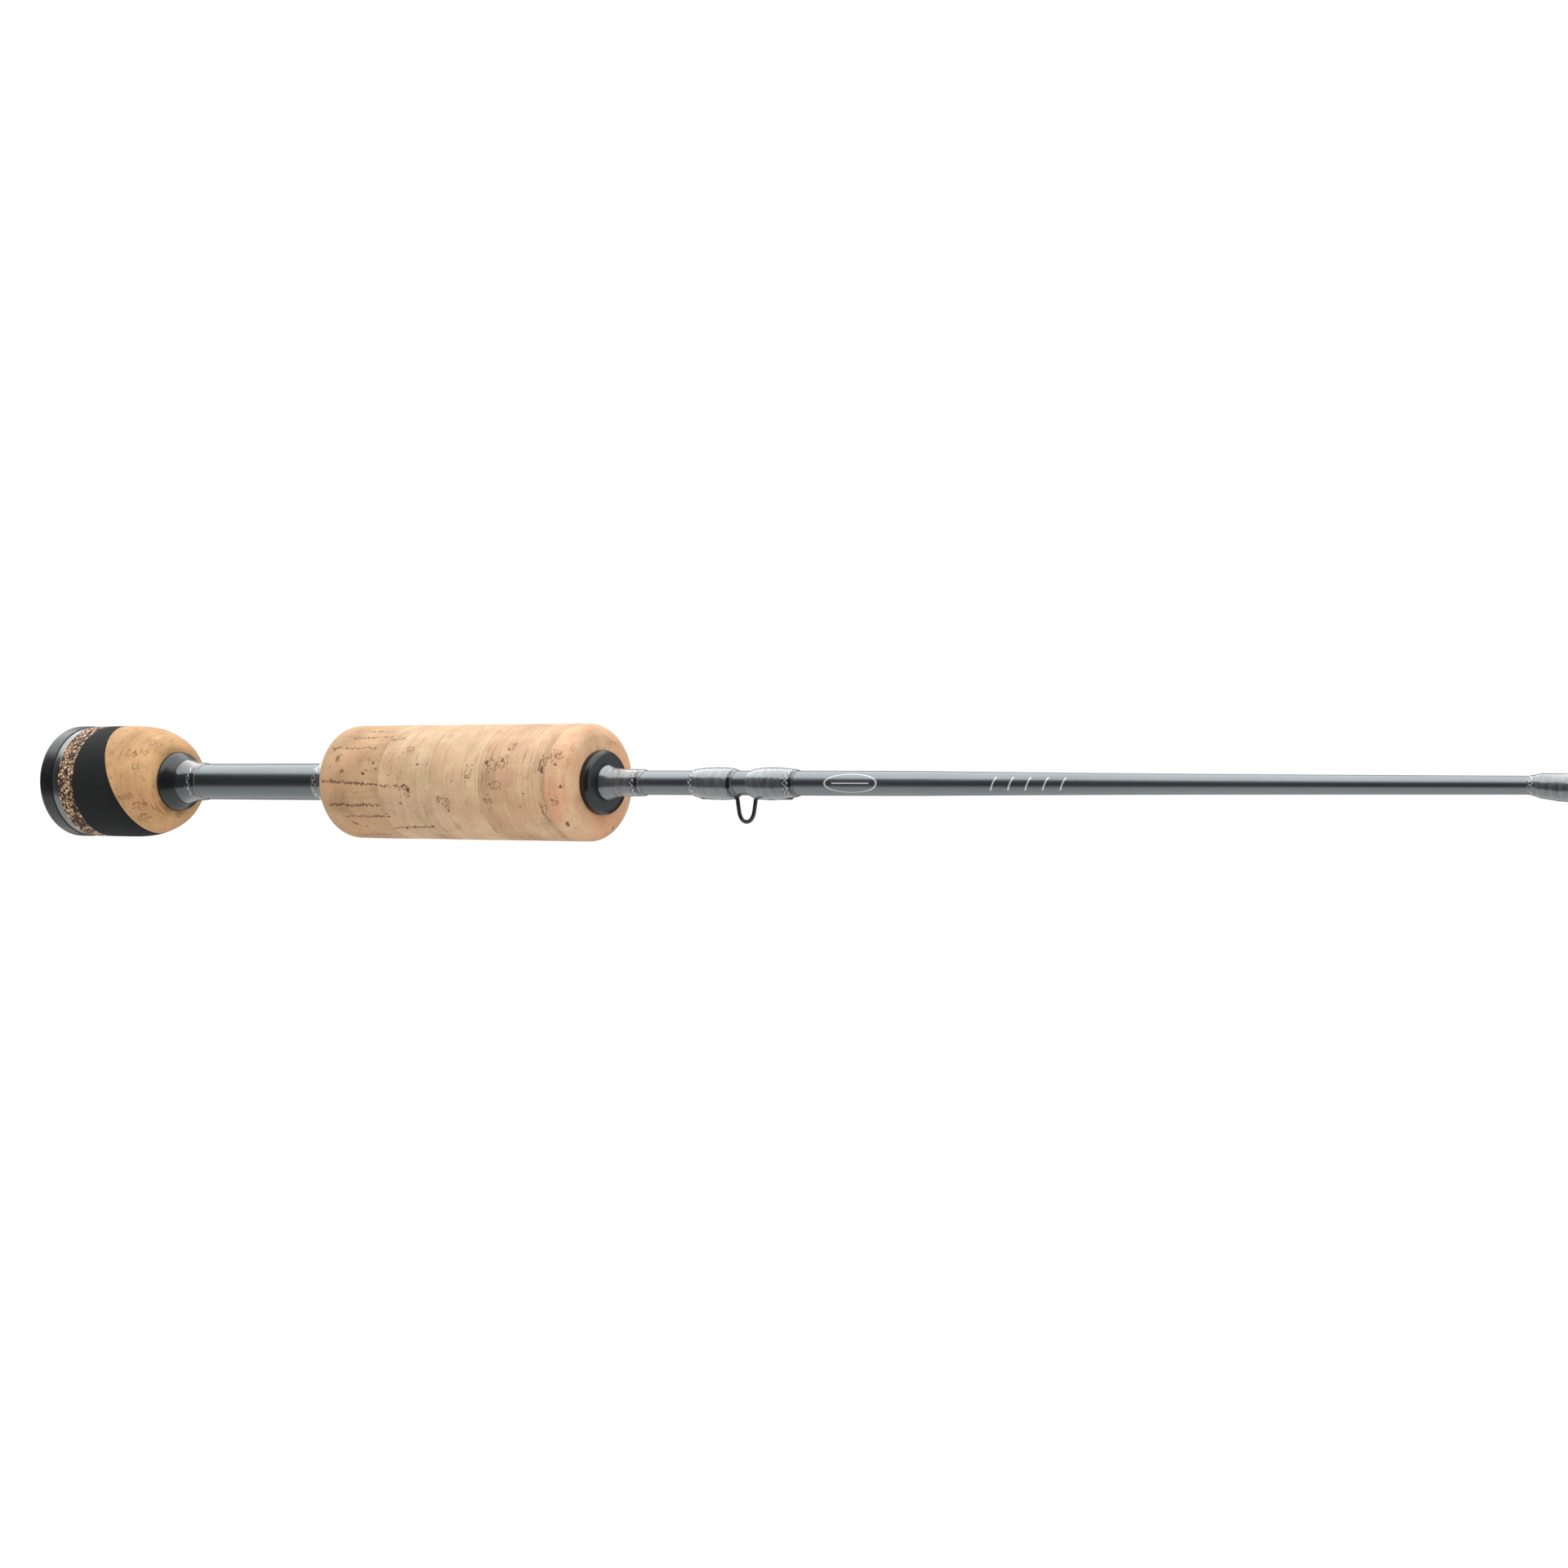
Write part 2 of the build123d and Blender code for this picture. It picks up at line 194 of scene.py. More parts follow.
def turned(name, outline, finish, segments, closed=True, shape=None, height=0):
    """A solid of revolution along the rod.

    outline is a loop of (station, radius), forwards along the outside and back along the inside. An outline
    that isn't closed starts and ends on the axis. shape(x, r, angle, along) returns new x and r and the
    vertex attributes. height moves the axis up, all of it or each row by its own amount.
    """
    line = np.array(outline, float)
    if not closed:
        line = line[1:-1]
    rows = len(line)
    angle = np.arange(segments) / segments * TURN
    x = np.repeat(line[:, :1], segments, 1)
    r = np.repeat(line[:, 1:2], segments, 1)
    angle = np.repeat(angle[None, :], rows, 0)
    steps = np.linalg.norm(np.diff(line, axis=0), axis=1)
    along = np.repeat(np.concatenate([[0], np.cumsum(steps)])[:, None], segments, 1)
    attributes = {}
    if shape is not None:
        x, r, attributes = shape(x, r, angle, along)
    up = np.reshape(height, (-1, 1))
    points = np.stack([x, r * np.cos(angle), up + r * np.sin(angle)], -1).reshape(-1, 3)
    faces = grid_faces(rows, segments, closed)
    u = faces % segments / segments
    wraps = faces[:, 1] % segments == 0
    u[wraps, 1] = 1.0
    u[wraps, 2] = 1.0
    v = along[:, 0][faces // segments]
    uv = np.stack([u, v], -1).reshape(-1, 2)
    faces = faces.tolist()
    if not closed:
        first, last = len(points), len(points) + 1
        points = np.vstack([points, [(outline[0][0], 0, 0), (outline[-1][0], 0, 0)]])
        cap = []
        for k in range(segments):
            following = (k + 1) % segments
            faces.append([first, following, k])
            faces.append([(rows - 1) * segments + k, (rows - 1) * segments + following, last])
            here, onward, end = k / segments, (k + 1) / segments, along[-1, 0]
            cap += [(0.5, 0), (onward, 0), (here, 0), (here, end), (onward, end), (0.5, end)]
        uv = np.vstack([uv, cap])
        attributes = {key: np.concatenate([np.ravel(value), [0, 0]]) for key, value in attributes.items()}
    return mesh_piece(name, points, faces, finish, attributes, uv)


def swept(name, path, across, thick, sides):
    """A black wire of elliptic section along a path, its ends rounded in and its width level."""
    path = np.array(path, float)
    count = len(path)
    across = np.broadcast_to(across, count).astype(float)
    thick = np.broadcast_to(thick, count).astype(float)
    tangent = np.gradient(path, axis=0)
    tangent /= np.linalg.norm(tangent, axis=1)[:, None]
    normal = np.array((0.0, 1.0, 0.0))
    points = []
    end_cap = [(-1.0, 0.02), (-0.92, 0.39), (-0.7, 0.71), (-0.38, 0.92)]
    stations = [(0, offset, size) for offset, size in end_cap]
    stations += [(k, 0, 1) for k in range(count)]
    stations += [(count - 1, -offset, size) for offset, size in reversed(end_cap)]
    for k, offset, size in stations:
        t = tangent[k]
        normal = normal - t * np.dot(normal, t)
        normal /= np.linalg.norm(normal)
        other = np.cross(t, normal)
        middle = path[k] + t * offset * min(across[k], thick[k]) / 2
        for a in np.arange(sides) / sides * TURN:
            points.append(middle + normal * across[k] / 2 * size * math.cos(a)
                          + other * thick[k] / 2 * size * math.sin(a))
    rows = len(stations)
    faces = grid_faces(rows, sides, False).tolist()
    faces.append(list(range(sides))[::-1])
    faces.append(list(range((rows - 1) * sides, rows * sides)))
    return mesh_piece(name, points, faces, "black_wire")


def joined(name, pieces):
    """One piece made of several closed shells."""
    with bpy.context.temp_override(active_object=pieces[0], selected_editable_objects=pieces):
        bpy.ops.object.join()
    pieces[0].name = name
    return pieces[0]


def place(piece, node):
    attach(piece, "root")
    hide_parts(node)


def turn_node(node, made, slot, outline, segments, finish=None, **how):
    """A turned piece that stands for one CAD node, in its slot's own finish unless another is named."""
    place(turned(f"{node}_{made}", outline, finish or slot, segments, **how), node)


# ---- Materials ----

class Nodes:
    """Short calls for building one material. A value is a number, a colour or another node's output."""

    def __init__(self, name):
        self.material = bpy.data.materials.new(name)
        finishes[name] = self.material
        self.material.use_nodes = True
        self.tree = self.material.node_tree
        self.shader = self.tree.nodes["Principled BSDF"]
        self.where = self.new("TexCoord").outputs["Object"]

    def new(self, kind):
        return self.tree.nodes.new("ShaderNode" + kind)

    def link(self, value, socket):
        if hasattr(value, "is_output"):
            self.tree.links.new(value, socket)
        else:
            socket.default_value = value

    def fill(self, node, **values):
        """Sets a node's inputs by name, written with _ for a space."""
        for key, value in values.items():
            self.link(value, node.inputs[key.replace("_", " ")])

    def set(self, **values):
        self.fill(self.shader, **values)

    def noise(self, scale, detail, rough, stretch=(1, 1, 1), distort=0.0):
        node = self.new("TexNoise")
        scaled = self.new("Mapping")
        self.fill(scaled, Vector=self.where, Scale=stretch)
        self.fill(node, Vector=scaled.outputs["Vector"], Scale=scale, Detail=detail, Roughness=rough,
                  Distortion=distort)
        return node.outputs["Fac"]

    def cells(self, scale, feature, output, vector=None, random=1.0):
        node = self.new("TexVoronoi")
        node.feature = feature
        self.fill(node, Vector=vector or self.where, Scale=scale, Randomness=random)
        return node.outputs[output]

    def attribute(self, name):
        node = self.new("Attribute")
        node.attribute_name = name
        return node.outputs["Fac"]

    def ramp(self, value, stops):
        node = self.new("ValToRGB")
        self.fill(node, Fac=value)
        line = node.color_ramp.elements
        while len(line) < len(stops):
            line.new(0.5)
        for stop, (at, colour) in zip(line, stops):
            stop.position = at
            stop.color = (*colour, 1)
        return node.outputs["Color"]

    def maths(self, kind, a, b=0.0, c=0.0):
        node = self.new("Math")
        node.operation = kind
        for value, socket in zip((a, b, c), node.inputs):
            self.link(value, socket)
        return node.outputs[0]

    def times(self, a, b):
        return self.maths("MULTIPLY", a, b)

    def times_add(self, a, b, c):
        return self.maths("MULTIPLY_ADD", a, b, c)

    def over(self, a, b):
        return self.maths("DIVIDE", a, b)

    def minus(self, a, b):
        return self.maths("SUBTRACT", a, b)

    def most(self, a, b):
        return self.maths("MAXIMUM", a, b)

    def size(self, a):
        return self.maths("ABSOLUTE", a)

    def stretch(self, value, low, high, to_low=0.0, to_high=1.0):
        node = self.new("MapRange")
        self.fill(node, Value=value, From_Min=low, From_Max=high, To_Min=to_low, To_Max=to_high)
        return node.outputs["Result"]

    def fade(self, value, low, high):
        """1 up to low, and 0 from high on."""
        return self.stretch(value, low, high, 1.0, 0.0)

    def mix(self, share, a, b):
        node = self.new("Mix")
        node.data_type = "RGBA"
        self.fill(node, Factor=share)
        sockets = [s for s in node.inputs if s.type == "RGBA"]
        for value, socket in zip((a, b), sockets):
            self.link((*value, 1) if isinstance(value, tuple) else value, socket)
        return [s for s in node.outputs if s.type == "RGBA"][0]

    def bump(self, height, strength, depth):
        """A bumped normal, its depth in millimetres."""
        node = self.new("Bump")
        self.fill(node, Height=height, Strength=strength, Distance=depth * MM)
        return node.outputs["Normal"]

    def relief(self, height, strength, depth):
        self.set(Normal=self.bump(height, strength, depth))

    def axis(self, letter, vector=None):
        node = self.new("SeparateXYZ")
        self.fill(node, Vector=vector or self.where)
        return node.outputs[letter]

    def uv(self, letter):
        """A coordinate of the turned surface: X in turns round it, and Y in millimetres along its outline."""
        node = self.new("UVMap")
        node.uv_map = "turned"
        return self.axis(letter, node.outputs["UV"])

    def unrolled(self):
        """The station along the rod, and the angle up from the side that faces -Y, in radians."""
        x, y, z = (self.axis(letter) for letter in "XYZ")
        return x, self.maths("ARCTAN2", z, self.times(y, -1.0))


fleck_brown = (0.15, 0.068, 0.03)
knot_brown = (0.140, 0.064, 0.029)
crack_brown = (0.095, 0.044, 0.019)
pit_brown = (0.085, 0.040, 0.018)


def cork_material(name, light, deep, warm, bands, streaks, cracks=()):
    """Natural cork: warm mottled cells, growth lines, thin cracks and ragged dark-edged pits.

    bands darkens lines that run round the rod, streaks darkens lines that run along it. Each crack is
    (start, end, degrees up from the side that faces -Y, lean in degrees, width), in millimetres.
    """
    n = Nodes(name)
    x, facing = n.unrolled()
    cells = n.noise(1700, 3.0, 0.6)
    broad = n.noise(210, 3.0, 0.55)
    fine = n.noise(4200, 2.0, 0.5)
    round_lines = n.noise(1250, 4.0, 0.62, (1, 0.06, 0.06), 0.1)
    long_lines = n.noise(1500, 4.0, 0.62, (0.07, 1, 1), 0.1)

    broad_share, cell_share, tone_share = 0.9, 0.55, 0.9
    tone = n.times_add(broad, broad_share, n.times(cells, cell_share))
    tone = n.times_add(n.attribute("tone"), tone_share, tone)
    tone = n.times_add(round_lines, bands, tone)
    tone = n.times_add(long_lines, streaks, tone)
    middle = 0.5 * (broad_share + cell_share + tone_share + bands + streaks)
    colour = n.mix(n.stretch(tone, middle - 0.36, middle + 0.36), deep, light)
    blush = n.stretch(n.noise(130, 2.0, 0.5), 0.48, 0.68, 0.0, 0.55)
    colour = n.mix(blush, colour, warm)

    flecks = n.stretch(n.noise(3000, 2.0, 0.55), 0.655, 0.74, 0.0, 0.6)
    colour = n.mix(flecks, colour, fleck_brown)

    def contour(scale, width, stretch=(1, 1, 1), rough=0.6):
        level = n.noise(scale, 3.0, rough, stretch, 0.6)
        return n.fade(n.size(n.minus(level, 0.5)), width * 0.35, width)

    growth = contour(520, 0.013, (1, 0.045, 0.045), 0.5)
    growth = n.times(growth, n.stretch(n.noise(260, 2.0, 0.5), 0.4, 0.56))
    growth_brown = (deep[0] * 0.62, deep[1] * 0.52, deep[2] * 0.45)
    colour = n.mix(n.times(growth, min(0.65, bands * 0.9)), colour, growth_brown)
    knot = n.attribute("knot")
    rim = n.stretch(n.size(n.minus(knot, 0.5)), 0.18, 0.36, 0.85, 0.0)
    ragged = n.times(contour(640, 0.024), knot)
    rim = n.times(rim, n.stretch(n.noise(1100, 2.0, 0.6), 0.33, 0.5))
    ragged = n.most(ragged, rim)
    loose = contour(1500, 0.04)
    loose = n.times(loose, n.stretch(n.noise(330, 2.0, 0.5), 0.63, 0.70, 0.0, 0.6))
    ragged = n.most(ragged, loose)
    colour = n.mix(n.times(ragged, 0.85), colour, knot_brown)

    wobble = n.minus(n.noise(800, 4.0, 0.75, (1, 0.1, 0.1)), 0.5)
    ticks = n.stretch(n.noise(1700, 3.0, 0.6, (1, 0.25, 0.25)), 0.54, 0.62)
    gaps = n.stretch(n.noise(1000, 3.0, 0.65, (1, 0.3, 0.3)), 0.35, 0.46)
    wander = (3.0, -2.6, 2.2)
    lines = 0.0
    for k, (start, end, degrees, lean, width) in enumerate(cracks):
        along = n.stretch(x, start * MM, end * MM)
        middle_angle = n.times_add(along, math.radians(lean), math.radians(degrees))
        away = n.times(n.minus(facing, middle_angle), cork_radius * MM)
        away = n.size(n.times_add(wobble, wander[k % 3] * MM, away))
        reach = n.times_add(ticks, 0.5 * MM, width * 0.9 * MM)
        line = n.fade(n.over(away, reach), 0.35, 1.0)
        begun = n.stretch(x, (start - 0.3) * MM, (start + 0.3) * MM)
        inside = n.times(begun, n.fade(x, (end - 0.3) * MM, (end + 0.3) * MM))
        lines = n.most(lines, n.times(n.times(line, inside), gaps))
    if cracks:
        colour = n.mix(n.times(lines, 0.92), colour, crack_brown)

    colour = n.mix(n.times(n.attribute("pit"), 0.9), colour, pit_brown)
    n.set(Base_Color=colour, Roughness=n.stretch(cells, 0.3, 0.7, 0.66, 0.88), Specular_IOR_Level=0.2)
    height = n.times_add(cells, 0.5, n.times(fine, 0.25))
    height = n.times_add(n.minus(round_lines, growth), 0.35, height)
    height = n.times_add(n.most(ragged, lines), -0.9, height)
    n.relief(height, 0.35, 0.12)


def burl_material():
    """Granulated cork: rounded tan, orange and brown grains in a dark binder."""
    n = Nodes("burl_cork")
    wander = n.new("TexNoise")
    n.fill(wander, Vector=n.where, Scale=1300)
    shift = n.new("VectorMath")
    shift.operation = "SCALE"
    n.fill(shift, Vector=wander.outputs["Color"], Scale=0.5 * MM)
    bent = n.new("VectorMath")
    n.link(n.where, bent.inputs[0])
    n.link(shift.outputs[0], bent.inputs[1])
    edge = n.cells(1150, "DISTANCE_TO_EDGE", "Distance", bent.outputs[0], 0.95)
    kind = n.axis("X", n.cells(1150, "F1", "Color", bent.outputs[0], 0.95))
    grain = n.ramp(kind, [
        (0.0, (0.022, 0.014, 0.009)), (0.24, (0.060, 0.034, 0.018)), (0.34, (0.30, 0.165, 0.080)),
        (0.58, (0.46, 0.28, 0.155)), (0.82, (0.60, 0.41, 0.25)), (1.0, (0.34, 0.18, 0.085))])
    speckle = n.noise(3600, 3.0, 0.6)
    grain = n.mix(n.stretch(speckle, 0.46, 0.7, 0.0, 0.45), grain, (0.10, 0.055, 0.03))
    inside = n.stretch(edge, 0.07, 0.15)
    colour = n.mix(inside, (0.014, 0.010, 0.008), grain)
    n.set(Base_Color=colour, Roughness=n.stretch(speckle, 0.3, 0.7, 0.6, 0.85), Specular_IOR_Level=0.25)
    n.relief(n.times_add(speckle, 0.4, inside), 0.35, 0.1)


def foam_material():
    """Dense black composite, dull, with very fine open pores."""
    n = Nodes("black_composite")
    pores = n.noise(5200, 2.0, 0.5)
    cloud = n.noise(260, 3.0, 0.5)
    colour = n.ramp(n.times_add(pores, 0.6, n.times(cloud, 0.4)),
                    [(0.3, (0.0058, 0.0062, 0.0066)), (0.75, (0.0125, 0.0130, 0.0138))])
    n.set(Base_Color=colour, Roughness=n.stretch(pores, 0.3, 0.7, 0.7, 0.9), Specular_IOR_Level=0.14)
    n.relief(pores, 0.3, 0.08)


def moulded_material(name, colour, rough, grain, specular):
    """Moulded rubber or plastic with a faint orange-peel skin and uneven sheen."""
    n = Nodes(name)
    skin = n.noise(grain, 3.0, 0.5)
    scuffs = n.noise(700, 4.0, 0.65, (0.25, 1, 1))
    lift = tuple(c * 1.7 for c in colour)
    n.set(Base_Color=n.mix(n.stretch(scuffs, 0.45, 0.8, 0.0, 0.5), colour, lift))
    n.set(Roughness=n.stretch(scuffs, 0.3, 0.75, rough - 0.05, rough + 0.12), Specular_IOR_Level=specular)
    n.relief(skin, 0.12, 0.06)


def satin_metal_material():
    """Satin silver, turned, so its fine lines run round the ring."""
    n = Nodes("trim_metal")
    lines = n.noise(9000, 3.0, 0.6, (1, 0.02, 0.02))
    n.set(Base_Color=n.ramp(lines, [(0.3, (0.115, 0.125, 0.122)), (0.7, (0.19, 0.20, 0.195))]))
    n.set(Metallic=0.95, Roughness=n.stretch(lines, 0.3, 0.7, 0.2, 0.32))
    n.relief(lines, 0.15, 0.04)


def paint(n, colour, metallic, rough):
    """Slate metallic paint over fibre: fine flake, faint lengthwise drift and light handling marks."""
    flake = n.cells(9000, "F1", "Color")
    drift = n.noise(300, 4.0, 0.6, (0.06, 1, 1))
    marks = n.noise(1600, 3.0, 0.6, (0.03, 1, 1))
    lighter = tuple(min(1.0, c * 1.2) for c in colour)
    darker = tuple(c * 0.86 for c in colour)
    tone = n.times_add(drift, 0.7, n.times(n.axis("Y", flake), 0.3))
    n.set(Metallic=metallic, Roughness=n.stretch(marks, 0.35, 0.75, rough - 0.02, rough + 0.06))
    n.set(Specular_IOR_Level=0.4)
    n.relief(marks, 0.02, 0.02)
    return n.ramp(tone, [(0.2, darker), (0.8, lighter)])


def tube_material():
    n = Nodes("handle_tube")
    n.set(Base_Color=paint(n, (0.118, 0.132, 0.137), 0.97, 0.28))


def blank_material():
    """The same paint, with two plain pale marks printed on the side that faces -Y."""
    n = Nodes("blank")
    metallic = 0.97
    colour = paint(n, (0.147, 0.161, 0.170), metallic, 0.32)
    x, facing = n.unrolled()
    up = n.times(facing, 2.45 * MM)
    # A plain oval with a bar across it
    across = n.over(n.minus(x, 232.8 * MM), 6.9 * MM)
    tall = n.over(up, 2.1 * MM)
    reach = n.maths("SQRT", n.times_add(across, across, n.times(tall, tall)))
    oval = n.fade(n.size(n.minus(reach, 0.93)), 0.02, 0.045)
    bar = n.fade(n.size(up), 0.10 * MM, 0.16 * MM)
    bar = n.times(bar, n.fade(n.size(across), 0.66, 0.68))
    # A row of five plain slanted dashes
    first, last, pitch = 265.0 * MM, 285.0 * MM, 4.0 * MM
    at = n.times_add(up, -0.45, n.minus(x, first))
    share = n.maths("FRACT", n.over(at, pitch))
    dash = n.fade(n.size(n.minus(share, 0.5)), 0.035, 0.055)
    dash = n.times(dash, n.fade(n.size(up), 1.45 * MM, 1.52 * MM))
    begun = n.stretch(x, first - 0.2 * MM, first - 0.1 * MM)
    dash = n.times(dash, n.times(begun, n.fade(x, last + 0.1 * MM, last + 0.2 * MM)))
    mark = n.times(n.most(n.most(oval, bar), dash), 0.65)
    n.set(Base_Color=n.mix(mark, colour, (0.62, 0.64, 0.63)))
    n.set(Metallic=n.times_add(mark, -metallic, metallic))


epoxy = dict(Coat_Weight=1.0, Coat_Roughness=0.03, Coat_IOR=1.6)


def thread_material():
    """Grey winding thread, seen through a thick clear gloss coat of epoxy."""
    n = Nodes("thread_epoxy")
    along = n.axis("X")
    wander = n.noise(300, 2.0, 0.5)
    thread_pitch = 0.24 * MM
    turns = n.maths("SINE", n.times_add(along, TURN / thread_pitch, n.times(wander, 5.0)))
    groups = n.noise(3600, 4.0, 0.7, (1, 0.05, 0.05))
    blotch = n.noise(900, 3.0, 0.6, (1, 0.5, 0.5))
    tone = n.times_add(turns, 0.07, groups)
    tone = n.times_add(n.minus(blotch, 0.5), 0.5, tone)
    colour = n.ramp(tone, [(0.3, (0.070, 0.079, 0.088)), (0.52, (0.108, 0.120, 0.130)),
                           (0.75, (0.168, 0.184, 0.196))])
    # Darker stretches: dark thread, and painted shade on the rear check's wrap
    colour = n.mix(n.attribute("dark"), colour, (0.012, 0.013, 0.015))
    n.set(Base_Color=colour, Metallic=0.75, Roughness=n.stretch(groups, 0.35, 0.7, 0.26, 0.42))
    height = n.times_add(turns, 0.35, groups)
    n.relief(height, 0.22, 0.06)
    pool = n.noise(620, 3.0, 0.55)
    n.set(**epoxy, Coat_Normal=n.bump(pool, 0.35, 0.2))


def braid_material():
    """Silver thread crossed over black thread, under the same epoxy."""
    n = Nodes("trim_thread")
    turn = n.uv("X")
    along = n.uv("Y")
    crossings = 17
    crossing_length = 1.15

    def strand(way):
        phase = n.times_add(turn, math.pi * crossings, n.times(along, way * math.pi / crossing_length))
        return n.fade(n.size(n.maths("SINE", phase)), 0.22, 0.5)

    cross = n.most(strand(1), strand(-1))
    glint = n.stretch(n.noise(2300, 3.0, 0.65), 0.4, 0.62, 0.05, 1.0)
    bright = n.times(cross, glint)
    n.set(Base_Color=n.mix(bright, (0.010, 0.011, 0.014), (0.52, 0.53, 0.56)))
    n.set(Metallic=n.times(bright, 0.85), Roughness=0.25)
    n.relief(cross, 0.8, 0.14)
    n.set(**epoxy)


def wire_material():
    """Gloss black coating on wire, a little thin and rubbed in places."""
    n = Nodes("black_wire")
    rub = n.noise(900, 4.0, 0.6)
    n.set(Base_Color=n.ramp(rub, [(0.35, (0.006, 0.006, 0.007)), (0.8, (0.022, 0.022, 0.024))]))
    n.set(Roughness=n.stretch(rub, 0.3, 0.8, 0.12, 0.34))
    n.relief(n.noise(2400, 2.0, 0.5), 0.06, 0.04)


def ceramic_material():
    """Polished dark grey ceramic with a faint cloudiness."""
    n = Nodes("ring_ceramic")
    cloud = n.noise(1200, 4.0, 0.6)
    n.set(Base_Color=n.ramp(cloud, [(0.3, (0.030, 0.031, 0.036)), (0.75, (0.065, 0.067, 0.074))]))
    n.set(Roughness=n.stretch(cloud, 0.3, 0.7, 0.06, 0.16), Coat_Weight=0.5, Coat_Roughness=0.03)
    n.relief(cloud, 0.03, 0.02)


burl_material()
foam_material()
moulded_material("cap_rubber", (0.0040, 0.0046, 0.0064), 0.30, 2400, 0.36)
moulded_material("check_black", (0.0036, 0.0046, 0.0060), 0.28, 3200, 0.46)
moulded_material("bushing", (0.2, 0.2, 0.2), 0.5, 2000, 0.5)
satin_metal_material()
tube_material()
blank_material()
thread_material()
braid_material()
wire_material()
ceramic_material()
for cork in [
    ("butt_cork", (0.452, 0.276, 0.134), (0.275, 0.152, 0.064), (0.43, 0.228, 0.108), 0.75, 0.3),
    ("fore_cork_1", (0.455, 0.298, 0.168), (0.280, 0.168, 0.088), (0.43, 0.245, 0.135), 0.15, 0.6, [
        (94.2, 111.7, 1, -4, 0.30), (95.5, 111.3, -24, 0, 0.32), (99.2, 111.7, -37, 0, 0.2),
        (94.9, 108.8, 36, 0, 0.15), (99.3, 111.7, 50, 2, 0.15), (98.3, 110.0, 63, -2, 0.11),
        (97.0, 109.0, -70, 3, 0.14), (95.0, 108.0, 105, 4, 0.17), (96.0, 111.0, 140, -4, 0.15),
        (95.0, 110.5, -115, 4, 0.17), (98.0, 111.0, -150, 2, 0.15)]),
    ("fore_cork_2", (0.505, 0.365, 0.228), (0.325, 0.208, 0.117), (0.48, 0.290, 0.178), 0.6, 0.35, [
        (112.0, 120.6, -4, 0, 0.24), (112.0, 124.6, -53, 2, 0.2), (111.5, 117.0, 48, 0, 0.12),
        (112.5, 124.0, 120, 5, 0.14), (111.6, 122.0, -120, 4, 0.14)]),
    ("fore_cork_3", (0.525, 0.375, 0.234), (0.345, 0.220, 0.126), (0.50, 0.300, 0.18), 0.5, 0.25),
    ("fore_cork_4", (0.500, 0.335, 0.205), (0.290, 0.175, 0.095), (0.46, 0.265, 0.155), 0.9, 0.15),
    ("fore_cork_5", (0.540, 0.360, 0.218), (0.370, 0.215, 0.118), (0.57, 0.245, 0.132), 0.5, 0.2),
]:
    cork_material(*cork)


# ---- Cork surfaces ----

def scattered(seed, count, start, end, size, stretch):
    """Seeded places for cork pits: (station, angle, half length, half width, lean)."""
    rng = np.random.default_rng(seed)
    found = []
    for _ in range(count):
        big = size * rng.uniform(0.35, 1.0) ** 1.6
        at = rng.uniform(start, end)
        turn = rng.uniform(0, TURN)
        long = big * stretch[0] * rng.uniform(0.7, 1.3)
        wide = big * stretch[1] * rng.uniform(0.7, 1.3)
        found.append((at, turn, long, wide, rng.uniform(-0.5, 0.5)))
    return found


def depth_in(places, ragged, station, angle, radius, edge=(0.55, 1.15)):
    """How deep each vertex lies inside any of the places, from 0 to 1."""
    depth = np.zeros_like(station)
    for at, turn, long, wide, lean in places:
        da = station - at
        dt = np.angle(np.exp(1j * (angle - turn))) * radius
        reach = 2.5 * max(long, wide)
        near = (np.abs(da) < reach) & (np.abs(dt) < reach)
        if not near.any():
            continue
        da, dt = da[near], dt[near]
        da, dt = da + lean * dt, dt - lean * da
        away = np.sqrt((da / long) ** 2 + (dt / wide) ** 2) + 1.5 * (ragged[near] - 0.5)
        depth[near] = np.maximum(depth[near], 1 - smooth_step(away, *edge))
    return depth


def cork_shape(seed, spots, knots, pits, tone, bright=None, radius=cork_radius, strays=3):
    """A shape function that sinks pits into a cork surface and marks where it is darker or knotted.

    spots are dark cavities and knots are patches of ragged outlines, both as (station, degrees up from the
    side that faces -Y, half length, half width). pits are (count, size, stretch) of seeded small cavities.
    bright is a (start, end) where the cork is smooth and pale. strays is the number of seeded knots.
    """
    dark_places = [(x, angle_in(degrees), long, wide, 0.2) for x, degrees, long, wide in spots]
    knot_places = [(x, angle_in(degrees), long, wide, 0.0) for x, degrees, long, wide in knots]

    def shape(x, r, angle, along):
        outer = smooth_step(r, 5.2, 6.6)
        ragged = noise(seed + 1, along, angle, 0.55, 150)
        seeded = []
        for k, (count, size, stretch) in enumerate(pits):
            seeded += scattered(seed + 40 * k, count, x.min(), x.max(), size, stretch)
        pit = depth_in(dark_places + seeded, ragged, x, angle, radius) * outer
        around = scattered(seed + 90, strays, x.min(), x.max(), 1.1, (1.1, 1.0))
        knot = depth_in(knot_places + around, ragged, x, angle, radius, (0.6, 1.2)) * outer
        patches = noise(seed + 8, along, angle, 5.0, 14)
        swell = noise(seed + 9, along, angle, 3.0, 26) - 0.5
        grain = noise(seed + 10, along, angle, 0.5, 160) - 0.5
        shade = tone + 0.4 * (patches - 0.5)
        if bright is not None:
            pale = smooth_step(x, bright[0] - 0.8, bright[0] + 0.8)
            pale = pale * (1 - smooth_step(x, bright[1] - 0.8, bright[1] + 0.8))
            shade = shade + 0.28 * pale
            knot = knot * (1 - pale)
        sink = 0.05 * swell + 0.018 * grain - 0.22 * pit - 0.03
        return x, r + outer * sink, {"pit": pit, "knot": knot, "tone": np.clip(shade, 0, 1)}

    return shape


def arc(centre_x, centre_r, radius, start, end, steps):
    """Points on an arc, angles in degrees from +X towards larger radius."""
    turns = np.radians(np.linspace(start, end, steps))
    return [(centre_x + radius * math.cos(a), centre_r + radius * math.sin(a)) for a in turns]


# ---- Butt ----

